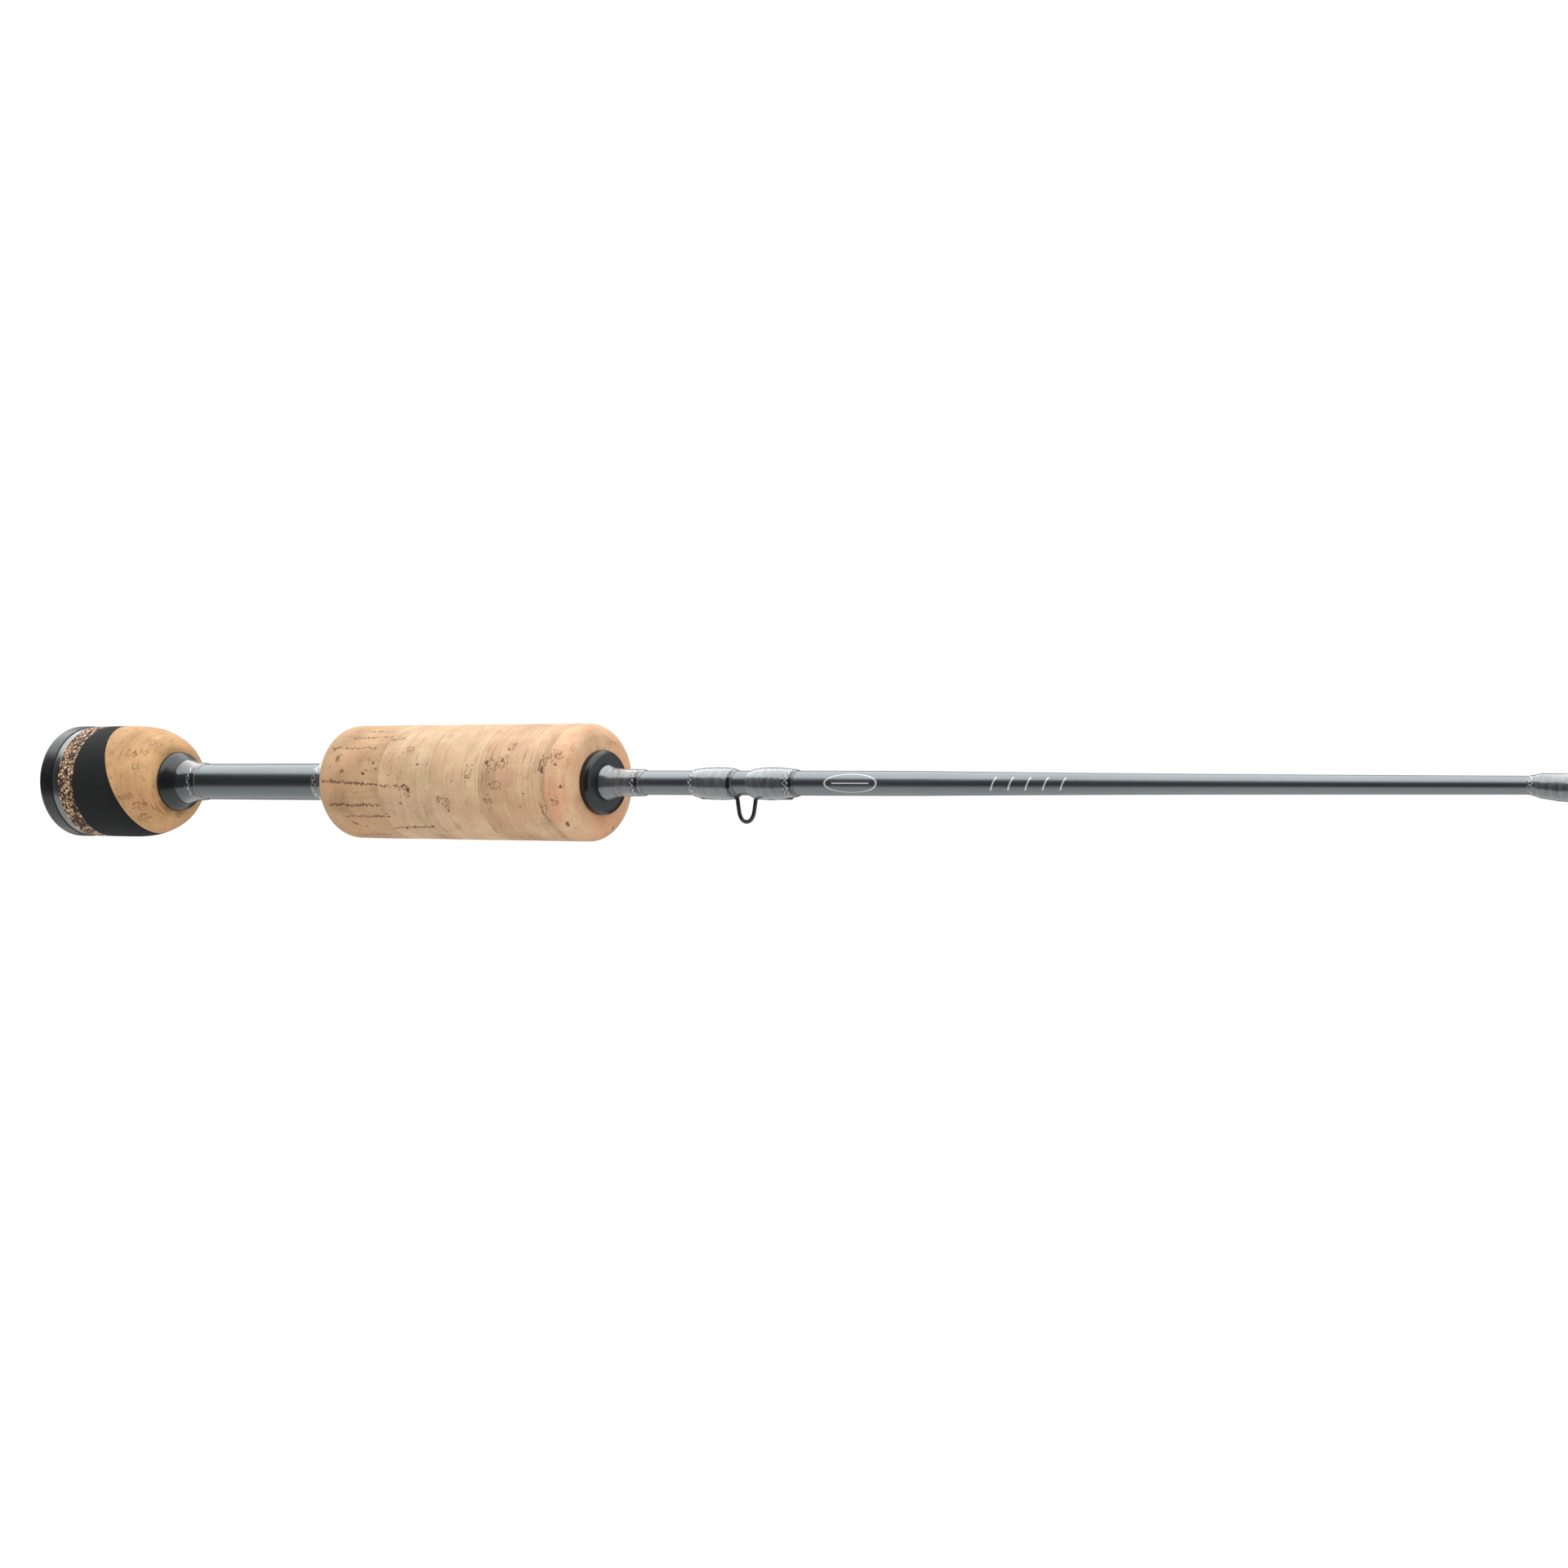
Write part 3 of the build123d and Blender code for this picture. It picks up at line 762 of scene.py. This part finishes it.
cap_radius = 13.29
trim_radius = 13.1


def plain_ring(node, radius, rear_cut, front_cut, steps):
    """The outline of a ring with flat sides, the two outer edges rounded off."""
    start, end = span(node)
    middle = 10.0
    return rounded([(start, grip_bore, 0), (start, middle, 0), (start, radius, rear_cut),
                    (end, radius, front_cut), (end, middle, 0), (end, grip_bore, 0)], steps)


def make_butt_rings():
    start, spigot_end = span("butt_cap")
    trim_start = span("butt_trim_ring")[0]
    cap = rounded([(start, 0, 0), (start, cap_radius, 1.3), (trim_start, cap_radius, 0.25),
                   (trim_start, plug_radius, 0), (spigot_end, plug_radius, 0.3), (spigot_end, 0, 0)], 9)
    cap = spaced(cap, 1.2)
    turn_node("butt_cap", "moulding", "cap_rubber", cap, 192, closed=False)

    ring = plain_ring("butt_trim_ring", trim_radius, 0.18, 0.18, 5)
    turn_node("butt_trim_ring", "turned", "trim_metal", ring, 192)

    def granules(x, r, angle, along):
        outer = smooth_step(r, 11.0, 12.5)
        rough = noise(71, along, angle, 0.6, 130) - 0.5 + 0.6 * (noise(72, along, angle, 0.3, 260) - 0.5)
        return x, r + outer * (0.08 * rough - 0.05), {}

    ring = spaced(plain_ring("burl_cork_ring", butt_radius, 0.16, 0.12, 4), 0.22)
    turn_node("burl_cork_ring", "sanded", "burl_cork", ring, 360, shape=granules)


def make_butt_grip():
    """The black ring and the cork, which meet at a slanted glue line across the grip's outline."""
    burl_end = span("burl_cork_ring")[1]
    outline = np.vstack([[(burl_end, butt_radius)], curved(nose_outline, 16)])
    lengths = np.concatenate([[0], np.cumsum(np.linalg.norm(np.diff(outline, axis=0), axis=1))])
    nose_radius = nose_outline[-1][1]
    lead = math.tan(math.radians(slant_tilt))
    turn = math.radians(slant_turn)
    face_middle = 9.0
    skin_from = 12

    def body_radius(x):
        return np.interp(x, outline[:, 0], outline[:, 1])

    def glue_line(r, angle):
        return slant_x + lead * r * np.cos(angle - turn)

    def outer_glue_line(angle):
        x = glue_line(butt_radius, angle)
        for _ in range(12):
            x = glue_line(body_radius(x), angle)
        return x

    steps = 72
    ring = [(k / steps, butt_radius) for k in range(steps + 1)]
    ring += [(1.0, face_middle), (1.0, grip_bore), (0.0, grip_bore), (0.0, face_middle)]

    def slanted_ring(x, r, angle, along):
        on_skin = r > skin_from
        end = np.where(on_skin, outer_glue_line(angle), glue_line(r, angle))
        new_x = burl_end + x * (end - 0.02 - burl_end)
        soft = 0.1 * (smooth_step(x, 0.985, 1.0) + 1 - smooth_step(x, 0.0, 0.015))
        ripple = 0.02 * (noise(81, along * 10, angle, 1.2, 120) - 0.5)
        return new_x, np.where(on_skin, body_radius(new_x) - soft + ripple, r), {}

    turn_node("black_composite_ring", "turned", "black_composite", ring, 256, shape=slanted_ring)

    body_rows = 104
    face_rows = 24
    skin_rows = body_rows + face_rows
    rows = [(k, butt_radius) for k in range(skin_rows)] + [(0, grip_bore), (0, face_middle)]
    knots = [(29.0, 33, 1.3, 0.9), (31.0, 19, 1.2, 0.9), (28.8, -18, 1.5, 0.8), (31.5, -32, 1.4, 1.1),
             (30.7, -49, 1.2, 1.0), (31.8, 39, 0.9, 0.7), (31.8, 58, 1.1, 0.9)]
    pits = [(34, 0.34, (1.0, 1.2)), (30, 0.24, (1, 1))]
    worn_cork = cork_shape(140, (), knots, pits, 0.55, None, butt_radius, 6)

    def slanted_cork(x, r, angle, along):
        row = np.arange(len(rows))[:, None] + 0 * x
        skin = row < skin_rows
        start = np.interp(outer_glue_line(angle), outline[:, 0], lengths)
        run = start + (lengths[-1] - start) * np.clip(row / (body_rows - 1), 0, 1)
        face = np.clip((row - body_rows + 1) / face_rows, 0, 1) * (nose_radius - grip_bore)
        new_x = np.where(skin, np.interp(run, lengths, outline[:, 0]), glue_line(r, angle))
        new_r = np.interp(run, lengths, outline[:, 1]) - face
        _, worn, attributes = worn_cork(new_x, new_r, angle, run + face)
        worn = worn - 0.1 * (1 - smooth_step(run - start, 0.0, 0.25))
        hole = new_r < grip_bore + 0.3
        on_face = face > 0.2
        sag = 0.1 * (noise(91, run + face, angle, 1.2, 60) - 0.5) * on_face * skin
        new_r = np.where(skin & ~hole, worn, np.where(skin, new_r, r))
        return new_x + 0.02 - 0.04 * on_face - sag * 0.3, new_r, attributes

    turn_node("butt_cork", "turned", "cork", rows, 360, "butt_cork", shape=slanted_cork)


def make_rear_check():
    start, end = span("rear_winding_check")
    flare = curved([(start + 0.75, 6.97), (start + 1.7, 6.62), (end - 1.2, 5.9), (end - 0.35, 5.42),
                    (end - 0.05, 5.15)], 8)
    outline = [(start, grip_bore), (start, 6.6), (start + 0.12, 6.85), (start + 0.3, 6.96)]
    outline += [tuple(p) for p in flare] + [(end, 4.9), (end, grip_bore)]
    turn_node("rear_winding_check", "moulding", "check_black", outline, 160)
    points = [(38.5, 5.22), (39.6, 4.95), (41.0, 4.66), (42.4, 4.5), (43.7, 4.42), (44.25, 4.34),
              (44.4, 4.22)]
    # Painted shade where the wrap meets the check and over its flare, then a stretch of dark thread
    dark = [(38.2, 39.1, 0.95), (39.1, 42.0, 0.85), (42.7, 44.0, 1.0)]
    make_wrap("rear_check", points, grip_bore, 5, dark)


# ---- Wraps ----

def wrap_pieces(name, start, end, part):
    """The thread on both sides of the trim band as one piece, and the band as another."""
    band_start, band_end = span(f"{name}_trim_band")
    threads = []
    for k, (low, high) in enumerate([(start, band_start), (band_end, end)]):
        if high - low > 0.12:
            threads.append(part(f"{name}_thread_{k}", low, high, "thread_epoxy"))
    wrap = joined(f"{name}_thread", threads) if len(threads) > 1 else threads[0]
    wrap.name = f"{name}_thread"
    place(wrap, f"{name}_wrap")
    place(part(f"{name}_braid", band_start, band_end, "trim_thread"), f"{name}_trim_band")


def epoxy_skin(seed, x, angle, dark):
    """Small rise and fall of a wrap's surface, and its darker stretches: dark thread, and painted shade."""
    turns = np.sin(x * TURN / 0.38 + 2.2 * noise(seed, x, angle, 1.1, 7))
    lumps = noise(seed + 1, x, angle, 0.75, 15) - 0.5
    shade = np.zeros_like(x)
    for start, end, depth in dark:
        edges = smooth_step(x, start - 0.1, start + 0.1) * (1 - smooth_step(x, end - 0.1, end + 0.1))
        shade = shade + depth * edges
    return 0.004 * turns + 0.045 * lumps - 0.02, shade


def make_wrap(name, sections, bore=0, seed=31, dark=()):
    """A wrap of thread and trim band, rear to front, on the blank unless a bore is given.

    sections are (station, radius) where it is round about the rod's axis, or (station, radius, height of
    the centre) where it also binds a foot.
    """
    binds_foot = len(sections[0]) == 3
    per_run, segments, margin = (16, 112, 0.01) if binds_foot else (14, 128, 0.08)
    line = curved(sections, per_run)
    line = line[np.argsort(line[:, 0], kind="stable")]

    def hole(x):
        return bore or blank_radius(x) + tube_bore_gap

    def ridged(x, r, angle, along):
        skin = r > hole(x) + margin
        rise, shade = epoxy_skin(seed, x, angle, dark)
        return x, r + skin * rise, {"dark": shade}

    def part(piece_name, low, high, finish):
        x = np.unique(np.concatenate([[low, high], np.arange(low, high, 0.1)]))
        r = np.interp(x, line[:, 0], line[:, 1])
        up = np.interp(x, line[:, 0], line[:, 2]) if binds_foot else 0 * x
        outline = [(low, hole(low)), *zip(x, r), (high, hole(high))]
        return turned(piece_name, outline, finish, segments, shape=ridged, height=[0.0, *up, 0.0])

    wrap_pieces(name, sections[0][0], sections[-1][0], part)


# ---- Handle tube, fore grip and blank ----

fore_grip_styles = [
    dict(spots=[(109.7, 19, 0.3, 0.45), (100.3, 11, 0.28, 0.28), (98.2, 25, 0.25, 0.8),
                (101.2, -47, 0.9, 0.4), (104.0, -52, 0.4, 0.3), (106.8, 8, 0.5, 0.25)],
         knots=[(108.5, 21, 1.2, 0.8), (98.5, 24, 0.7, 1.0), (100.3, 11, 0.6, 0.6)],
         pits=[(34, 0.3, (1.6, 0.8))], tone=0.5),
    dict(spots=[(120.4, -8, 0.55, 0.75), (112.4, -37, 0.5, 0.35), (113.5, 30, 0.25, 0.3)],
         knots=[(120.2, -10, 0.9, 1.0), (119.5, 33, 1.0, 0.7)],
         pits=[(16, 0.24, (1.4, 0.8))], tone=0.52),
    dict(spots=[(131.2, -30, 0.2, 0.35)],
         knots=[(138.2, 9, 1.1, 1.4)],
         pits=[(14, 0.22, (1.3, 0.8))], tone=0.56),
    dict(spots=[(143.0, 19, 0.4, 0.7), (147.6, 22, 0.35, 0.5), (159.2, 12, 0.35, 0.8)],
         knots=[(144.5, 17, 1.5, 1.2), (147.8, 20, 1.6, 1.4), (146.3, -3, 1.5, 0.9), (143.8, -17, 1.1, 0.8),
                (158.6, 17, 1.5, 1.8), (158.2, -30, 1.2, 2.0), (149.0, 38, 1.0, 0.9)],
         pits=[(30, 0.26, (0.9, 1.4))], tone=0.5, bright=(152.4, 158.4)),
    dict(spots=[(161.8, -22, 0.3, 0.35), (161.9, 27, 0.5, 0.3), (163.2, -46, 0.4, 0.5)],
         knots=[(162.0, 27, 1.3, 1.3), (162.4, -18, 0.7, 0.8)],
         pits=[(26, 0.26, (1, 1.1))], tone=0.52),
]


def make_handle_tube():
    start, end = span("handle_tube")
    skin = [(x, tube_radius) for x in np.linspace(start, end, 80)]
    outline = [(start, tube_bore)] + skin + [(end, tube_bore)]
    turn_node("handle_tube", "finish", "handle_tube", outline, 128)
    points = [(82.4, 4.23), (82.75, 4.36), (83.3, 4.44), (85.5, 4.5), (91.35, 4.5)]
    make_wrap("tube_end", points, grip_bore, 15)


def make_fore_grip():
    """Five cork rings that share one outline, with a fine groove where two of them meet."""
    start = span("fore_grip_cork_1")[0]
    end = span("fore_grip_cork_5")[1]
    rear = arc(start + fore_rear_round, cork_radius - fore_rear_round, fore_rear_round, 180, 90, 30)
    front = arc(end - fore_front_round, cork_radius - fore_front_round, fore_front_round, 90, 0, 26)
    skin = np.array(spaced([(start, grip_bore)] + rear + front + [(end, grip_bore)], 0.2))
    groove = cork_radius - 0.04
    face_middle = 9.0
    for number, style in enumerate(fore_grip_styles, 1):
        node = f"fore_grip_cork_{number}"
        low, high = span(node)
        inside = (skin[:, 0] >= low - 1e-3) & (skin[:, 0] <= high + 1e-3)
        rows = [tuple(p) for p in skin[inside]]
        if number > 1:
            rows = [(low, grip_bore), (low, face_middle), (low, groove)] + rows[1:]
        if number < len(fore_grip_styles):
            rows = rows[:-1] + [(high, groove), (high, face_middle), (high, grip_bore)]
        shape = cork_shape(300 + 20 * number, **style)
        turn_node(node, "turned", "cork", rows, 400, f"fore_cork_{number}", shape=shape)


def make_front_check():
    start, end = span("front_winding_check")
    rim = 6.93
    dome = curved([(start + 0.2, rim), (start + 1.3, rim), (start + 1.9, rim - 0.27),
                   (start + 2.3, rim - 0.8), (end - 0.01, rim - 1.6)], 10)
    hole = blank_radius(end) + tube_bore_gap
    outline = [(start, hole), (start, rim - 0.25), (start + 0.06, rim - 0.1)]
    outline += [tuple(p) for p in dome] + [(end, rim - 1.9), (end, hole)]
    turn_node("front_winding_check", "moulding", "check_black", outline, 160)
    points = [(167.5, 3.95), (168.0, 3.72), (168.5, 3.5), (169.6, 3.2), (171.2, 3.0), (173.5, 2.92),
              (176.8, 2.9), (177.5, 2.8), (177.9, 2.63)]
    make_wrap("front_check", points, 0, 25, [(176.3, 177.3, 1.0)])


def make_blank():
    start, end = span("blank")
    outline = [(start, 0), *curved(blank_taper, 12), (end, 0)]
    turn_node("blank", "finish", "blank", spaced(outline, 3.0), 96, closed=False)
    for name in ("blank_bushing_rear", "blank_bushing_front"):
        low, high = span(name)
        outline = rounded([(low, bushing_bore, 0), (low, plug_radius, 0.2), (high, plug_radius, 0.2),
                           (high, bushing_bore, 0)])
        turn_node(name, "turned", "bushing", outline, 64)


# ---- Hook keeper ----

def make_hook_keeper():
    wire = 0.84
    middle = 204.65
    depth = 8.03
    top = -(blank_radius(middle) + wire / 2 + 0.03)
    foot_rear, foot_front = span("hook_keeper")
    half = [(4.0, top), (3.05, top), (2.52, top - 0.14), (2.34, top - 0.6), (2.27, -4.1), (2.08, -5.2),
            (1.86, -6.3), (1.55, -7.05), (1.12, -7.6), (0.58, -7.92)]
    points = [(foot_rear + 0.4, top)] + [(middle - x, z) for x, z in half] + [(middle, -depth)]
    points += [(middle + x, z) for x, z in reversed(half)] + [(foot_front - 0.4, top)]
    path = curved([(x, 0, z) for x, z in points], 8)
    place(swept("hook_keeper_loop", path, wire, wire, 24), "hook_keeper")


def keeper_wrap_size(name):
    """First and last station of a wrap with its trim band, and its radius at the edges and at the bulge."""
    whole = [span(f"{name}_wrap"), span(f"{name}_trim_band")]
    low = min(part[0] for part in whole)
    high = max(part[1] for part in whole)
    edge_rise = 0.1
    bulge_rise = 0.84
    return low, high, blank_radius(low) + edge_rise, blank_radius(low) + bulge_rise


def make_keeper_wraps():
    low, high, edge, full = keeper_wrap_size("keeper_rear")
    make_wrap("keeper_rear", [
        (low, edge, 0), (low + 0.7, edge + 0.28, -0.03), (low + 2.2, full - 0.22, -0.08),
        (low + 5, full - 0.03, -0.13), (high - 3.6, full, -0.14), (high - 1.6, full - 0.13, -0.15),
        (high - 0.6, full - 0.4, -0.16), (high, edge + 0.02, -0.03)], dark=[(201.5, 202.2, 1.0)])
    low, high, edge, full = keeper_wrap_size("keeper_front")
    make_wrap("keeper_front", [
        (low, edge + 0.02, -0.03), (low + 0.5, edge + 0.28, -0.14), (low + 1.6, full - 0.2, -0.15),
        (low + 4, full, -0.14), (high - 5, full - 0.05, -0.12), (high - 2.3, full - 0.3, -0.07),
        (high - 0.8, edge + 0.24, -0.02), (high, edge, 0)], dark=[(217.3, 218.0, 1.0)])


# ---- Line guides ----

ring_wall = 0.75
ring_width = 1.5
band_wall = 0.49
band_gap = 0.03
foot_thickness = 0.82
foot_width = 1.46
foot_gap = 0.03
foot_wrap_wall = 0.48
wrap_past_toe = 2.6
wrap_past_heel = 1.6


def band_middle(bore):
    """The radius at which the legs meet the band round a ring."""
    return bore + ring_wall + band_gap + band_wall / 2


def swelling(toe_end, heel_end):
    """Sections of a wrap over a guide foot: round at its toe end, deeper below as the foot thickens."""
    length = abs(heel_end - toe_end)
    way = 1 if heel_end > toe_end else -1
    sections = []
    for share in (0, 0.03, 0.08, 0.16, 0.3, 0.45, 0.6, 0.75, 0.88, 0.96, 1.0):
        along = share * length
        x = toe_end + way * along
        closing = 0.3 + 0.7 * smooth_step(length - along, 0, 1.2)
        skin = foot_wrap_wall * closing * (0.25 + 0.75 * smooth_step(along, 0, 2.2))
        depth = foot_thickness * smooth_step(along + 0.4, 0, 7.5)
        sections.append((x, blank_radius(x) + skin + depth / 2, -depth / 2))
    return sections[::way]


def make_ring(name, x, bore, drop):
    """A ring whose section is an oval, flat along its inner and its outer side."""
    flat = 0.4
    middle = bore + ring_wall / 2
    loop = []
    for a in np.linspace(TURN, 0, 40, endpoint=False):
        c, s = math.cos(a), math.sin(a)
        across = flat * np.sign(c) + (ring_width / 2 - flat) * c if abs(c) > 1e-6 else 0.0
        loop.append((x + across, middle + s * ring_wall / 2))
    turn_node(f"{name}_ring", "polished", "ring_ceramic", loop, 96, height=-drop)


def make_band(name, x, bore, drop):
    width = 0.55
    inner = bore + ring_wall + band_gap
    outer = inner + band_wall
    outline = rounded([(x - width, inner, 0), (x - width, outer, 0.3), (x + width, outer, 0.3),
                       (x + width, inner, 0)], 6)
    return turned(f"{name}_band", outline, "black_wire", 96, height=-drop)


def guide_leg(name, x, drop, reach, side, edge, spread, heel, heel_z):
    """One leg, from the band round the ring to the heel of its foot, narrowing on the way."""
    out = reach * math.sin(math.radians(spread))
    ring_z = -drop + reach * math.cos(math.radians(spread))
    rise = heel_z - ring_z
    path = curved([(x, edge * out, ring_z),
                   (x + side * 1.5, edge * (out * 0.86 + 0.05), ring_z + rise * 0.3),
                   (heel - side * 1.4, edge * (0.42 + 0.11 * out), ring_z + rise * 0.8),
                   (heel + side * 0.3, edge * 0.34, heel_z - 0.1),
                   (heel + side * 1.6, edge * 0.3, heel_z)], 8)
    count = len(path)
    return swept(f"{name}_leg", path, np.linspace(0.86, 0.78, count), np.linspace(0.86, 0.66, count), 18)


def guide_foot(name, side, heel, toe):
    stations = np.linspace(heel - side * 0.2, toe, 22)
    share = np.abs(stations - heel) / abs(toe - heel)
    thick = foot_thickness * (1 - 0.75 * smooth_step(share, 0.3, 1.0))
    wide = foot_width * (1 - 0.45 * smooth_step(share, 0.5, 1.0))
    path = [(s, 0, -(blank_radius(s) + foot_gap + t / 2)) for s, t in zip(stations, thick)]
    return swept(f"{name}_foot", path, wide, thick, 20)


def make_guide(name, x, bore, height, foot_sides):
    """A ring in a wire frame. foot_sides holds -1 for a rear foot and 1 for a front one."""
    drop = blank_radius(x) + height
    make_ring(name, x, bore, drop)
    parts = [make_band(name, x, bore, drop)]
    double = len(foot_sides) > 1
    heel_run, foot_run = (5.5, 12.0) if double else (4.6, 10.2)
    for side in foot_sides:
        heel = x + side * heel_run
        toe = heel + side * foot_run
        spread = 62 if side == foot_sides[0] else 22
        heel_z = -(blank_radius(heel) + foot_gap) - foot_thickness / 2
        for edge in (-1, 1):
            parts.append(guide_leg(name, x, drop, band_middle(bore), side, edge, spread, heel, heel_z))
        parts.append(guide_foot(name, side, heel, toe))
        label = name if not double else f"{name}_{'rear' if side < 0 else 'front'}"
        make_wrap(label, swelling(toe + side * wrap_past_toe, heel + side * wrap_past_heel))
    place(joined(f"{name}_wirework", parts), f"{name}_frame")


def make_tip_top():
    x, bore, drop = 710.2, 1.6, 3.6
    make_ring("tip_top", x, bore, drop)
    parts = [make_band("tip_top", x, bore, drop)]
    reach = band_middle(bore)
    start, end = 695.0, 706.6
    sleeve_wall = 0.25
    brace_wire = 0.62
    stay_wire = 0.6
    outer = blank_radius(start) + tube_bore_gap + sleeve_wall
    outline = rounded([(start, 0, 0), (start, outer, 0.12), (end, outer, 0.3), (end, 0, 0)], 6)
    parts.append(turned("tip_top_sleeve", outline, "black_wire", 48, closed=False))
    for edge in (-1, 1):
        brace = curved([(end - 6.5, edge * outer * 0.7, -outer * 0.6), (end - 3.2, edge * 1.35, -1.55),
                        (end + 0.6, edge * reach * 0.92, -drop + 0.35), (x, edge * reach, -drop)], 10)
        parts.append(swept("tip_top_brace", brace, brace_wire, brace_wire, 16))
        stay = curved([(end - 0.9, edge * 0.25, -0.1), (end + 1.1, edge * 0.42, -0.45),
                       (x - 0.5, edge * reach * 0.33, -drop + reach * 0.99),
                       (x, edge * reach * 0.35, -drop + reach * 0.9)], 8)
        parts.append(swept("tip_top_stay", stay, stay_wire, stay_wire, 16))
    place(joined("tip_top_wirework", parts), "tip_top_frame")
    low, high = span("tip_top_wrap")
    r = blank_radius(low)
    points = [(low, r + 0.06), (low + 0.4, r + 0.18), (low + 1.1, r + 0.28), (high - 1.0, r + 0.32),
              (high - 0.3, r + 0.3), (high, r + 0.2)]
    make_wrap("tip_top", points, 0, 45)


# ---- Camera, light and floor ----

def make_camera():
    azimuth = math.radians(37.0)
    distance = 0.696
    target = Vector((214.3 * MM, 0, -0.184 * MM))
    back = Vector((math.sin(azimuth), -math.cos(azimuth), 0))
    data = bpy.data.cameras.new("camera")
    data.sensor_width = 36
    data.lens = 77.85
    data.clip_start = 0.01
    data.clip_end = 100
    camera = in_scene("camera", data)
    camera.location = target + back * distance
    camera.rotation_mode = "QUATERNION"
    roll = Quaternion((0, 0, 1), math.radians(0.1726))
    camera.rotation_quaternion = (-back).to_track_quat("-Z", "Y") @ roll
    bpy.context.scene.camera = camera


def card(name, corners, brightness, grey=0.0, only_reflected=True):
    """A flat panel that glows evenly. One that is only reflected lights nothing and isn't seen itself."""
    n = Nodes(name)
    n.set(Base_Color=(grey, grey, grey, 1), Roughness=1.0, Specular_IOR_Level=0.0)
    n.set(Emission_Color=(1, 1, 1, 1), Emission_Strength=brightness)
    mesh = bpy.data.meshes.new(name)
    mesh.from_pydata(corners, [], [tuple(range(len(corners)))])
    mesh.materials.append(n.material)
    panel = in_scene(name, mesh)
    if only_reflected:
        panel.visible_camera = False
        panel.visible_diffuse = False
        panel.visible_transmission = False
        panel.visible_shadow = False


def area_light(name, centre, size, power, aim):
    data = bpy.data.lights.new(name, "AREA")
    data.shape = "RECTANGLE"
    data.size, data.size_y = size
    data.energy = power
    light = in_scene(name, data)
    light.location = centre
    light.rotation_euler = (Vector(aim) - Vector(centre)).to_track_quat("-Z", "Y").to_euler()
    light.visible_camera = False
    light.visible_glossy = False


def make_studio():
    """A pale floor, a white world and two soft lights. The cards, in metres, are what the gloss reflects."""
    scene = bpy.context.scene
    scene.view_settings.view_transform = "Standard"
    world = bpy.data.worlds.new("studio")
    world.use_nodes = True
    background = world.node_tree.nodes["Background"].inputs
    background["Color"].default_value = (1, 1, 1, 1)
    background["Strength"].default_value = 1.02
    scene.world = world

    card("floor", [(-30, -30, -2), (30, -30, -2), (30, 30, -2), (-30, 30, -2)], 0.6, 0.5, False)
    card("top_glow", [(-2.2, 0.5, 1), (-1.2, -0.78, 1), (-0.7, -1.48, 1), (-0.2, -1.6, 1), (0.5, -0.7, 1),
                      (1.8, -0.5, 1), (1.8, 1.0, 1), (-2.2, 1.0, 1)], 3.2)
    card("front_shade", [(-2.5, -1, -0.58), (-0.1, -1, -0.58), (-0.1, -1, 0.55), (-0.35, -1, 0.675),
                         (-0.91, -1, 1.11), (-1.57, -1, 1.28), (-2.5, -1, 1.45)], 0.1)
    card("end_shade", [(-2.6, -1, -0.58), (-2.6, 1.5, -0.58), (-2.6, 1.5, 0.9), (-2.6, -1, 0.9)], 0.1)
    for name, y, left, right, low, high, brightness in (
            ("camera_side_shade", -1, -0.1, 2.6, -0.58, 1.3, 0.05),
            ("low_back_shade", 1.5, -3.0, 1.0, -1.2, 0.0, 0.05),
            ("high_back_shade", 1.5, -3.0, 1.0, 0.0, 1.4, 0.4)):
        card(name, [(left, y, low), (right, y, low), (right, y, high), (left, y, high)], brightness)
    area_light("key", (0.2, 0.0, 1.2), (2.2, 1.2), 26, (0.2, 0, 0))
    area_light("fill", (1.6, -0.9, 0.5), (0.8, 0.8), 8, (0.12, 0, 0))


# ---- Everything ----

make_camera()
make_studio()
make_butt_rings()
make_butt_grip()
make_rear_check()
make_handle_tube()
make_fore_grip()
make_front_check()
make_blank()
make_hook_keeper()
make_keeper_wraps()
make_guide("stripper_guide", 399.0, 3.7, 10.5, (-1, 1))
single_guides = [(482.0, 2.8, 7.6), (548.0, 2.2, 5.8), (605.0, 1.9, 4.8), (655.0, 1.7, 4.2)]
for number, (x, bore, height) in enumerate(single_guides, 2):
    make_guide(f"guide_{number}", x, bore, height, (1,))
make_tip_top()
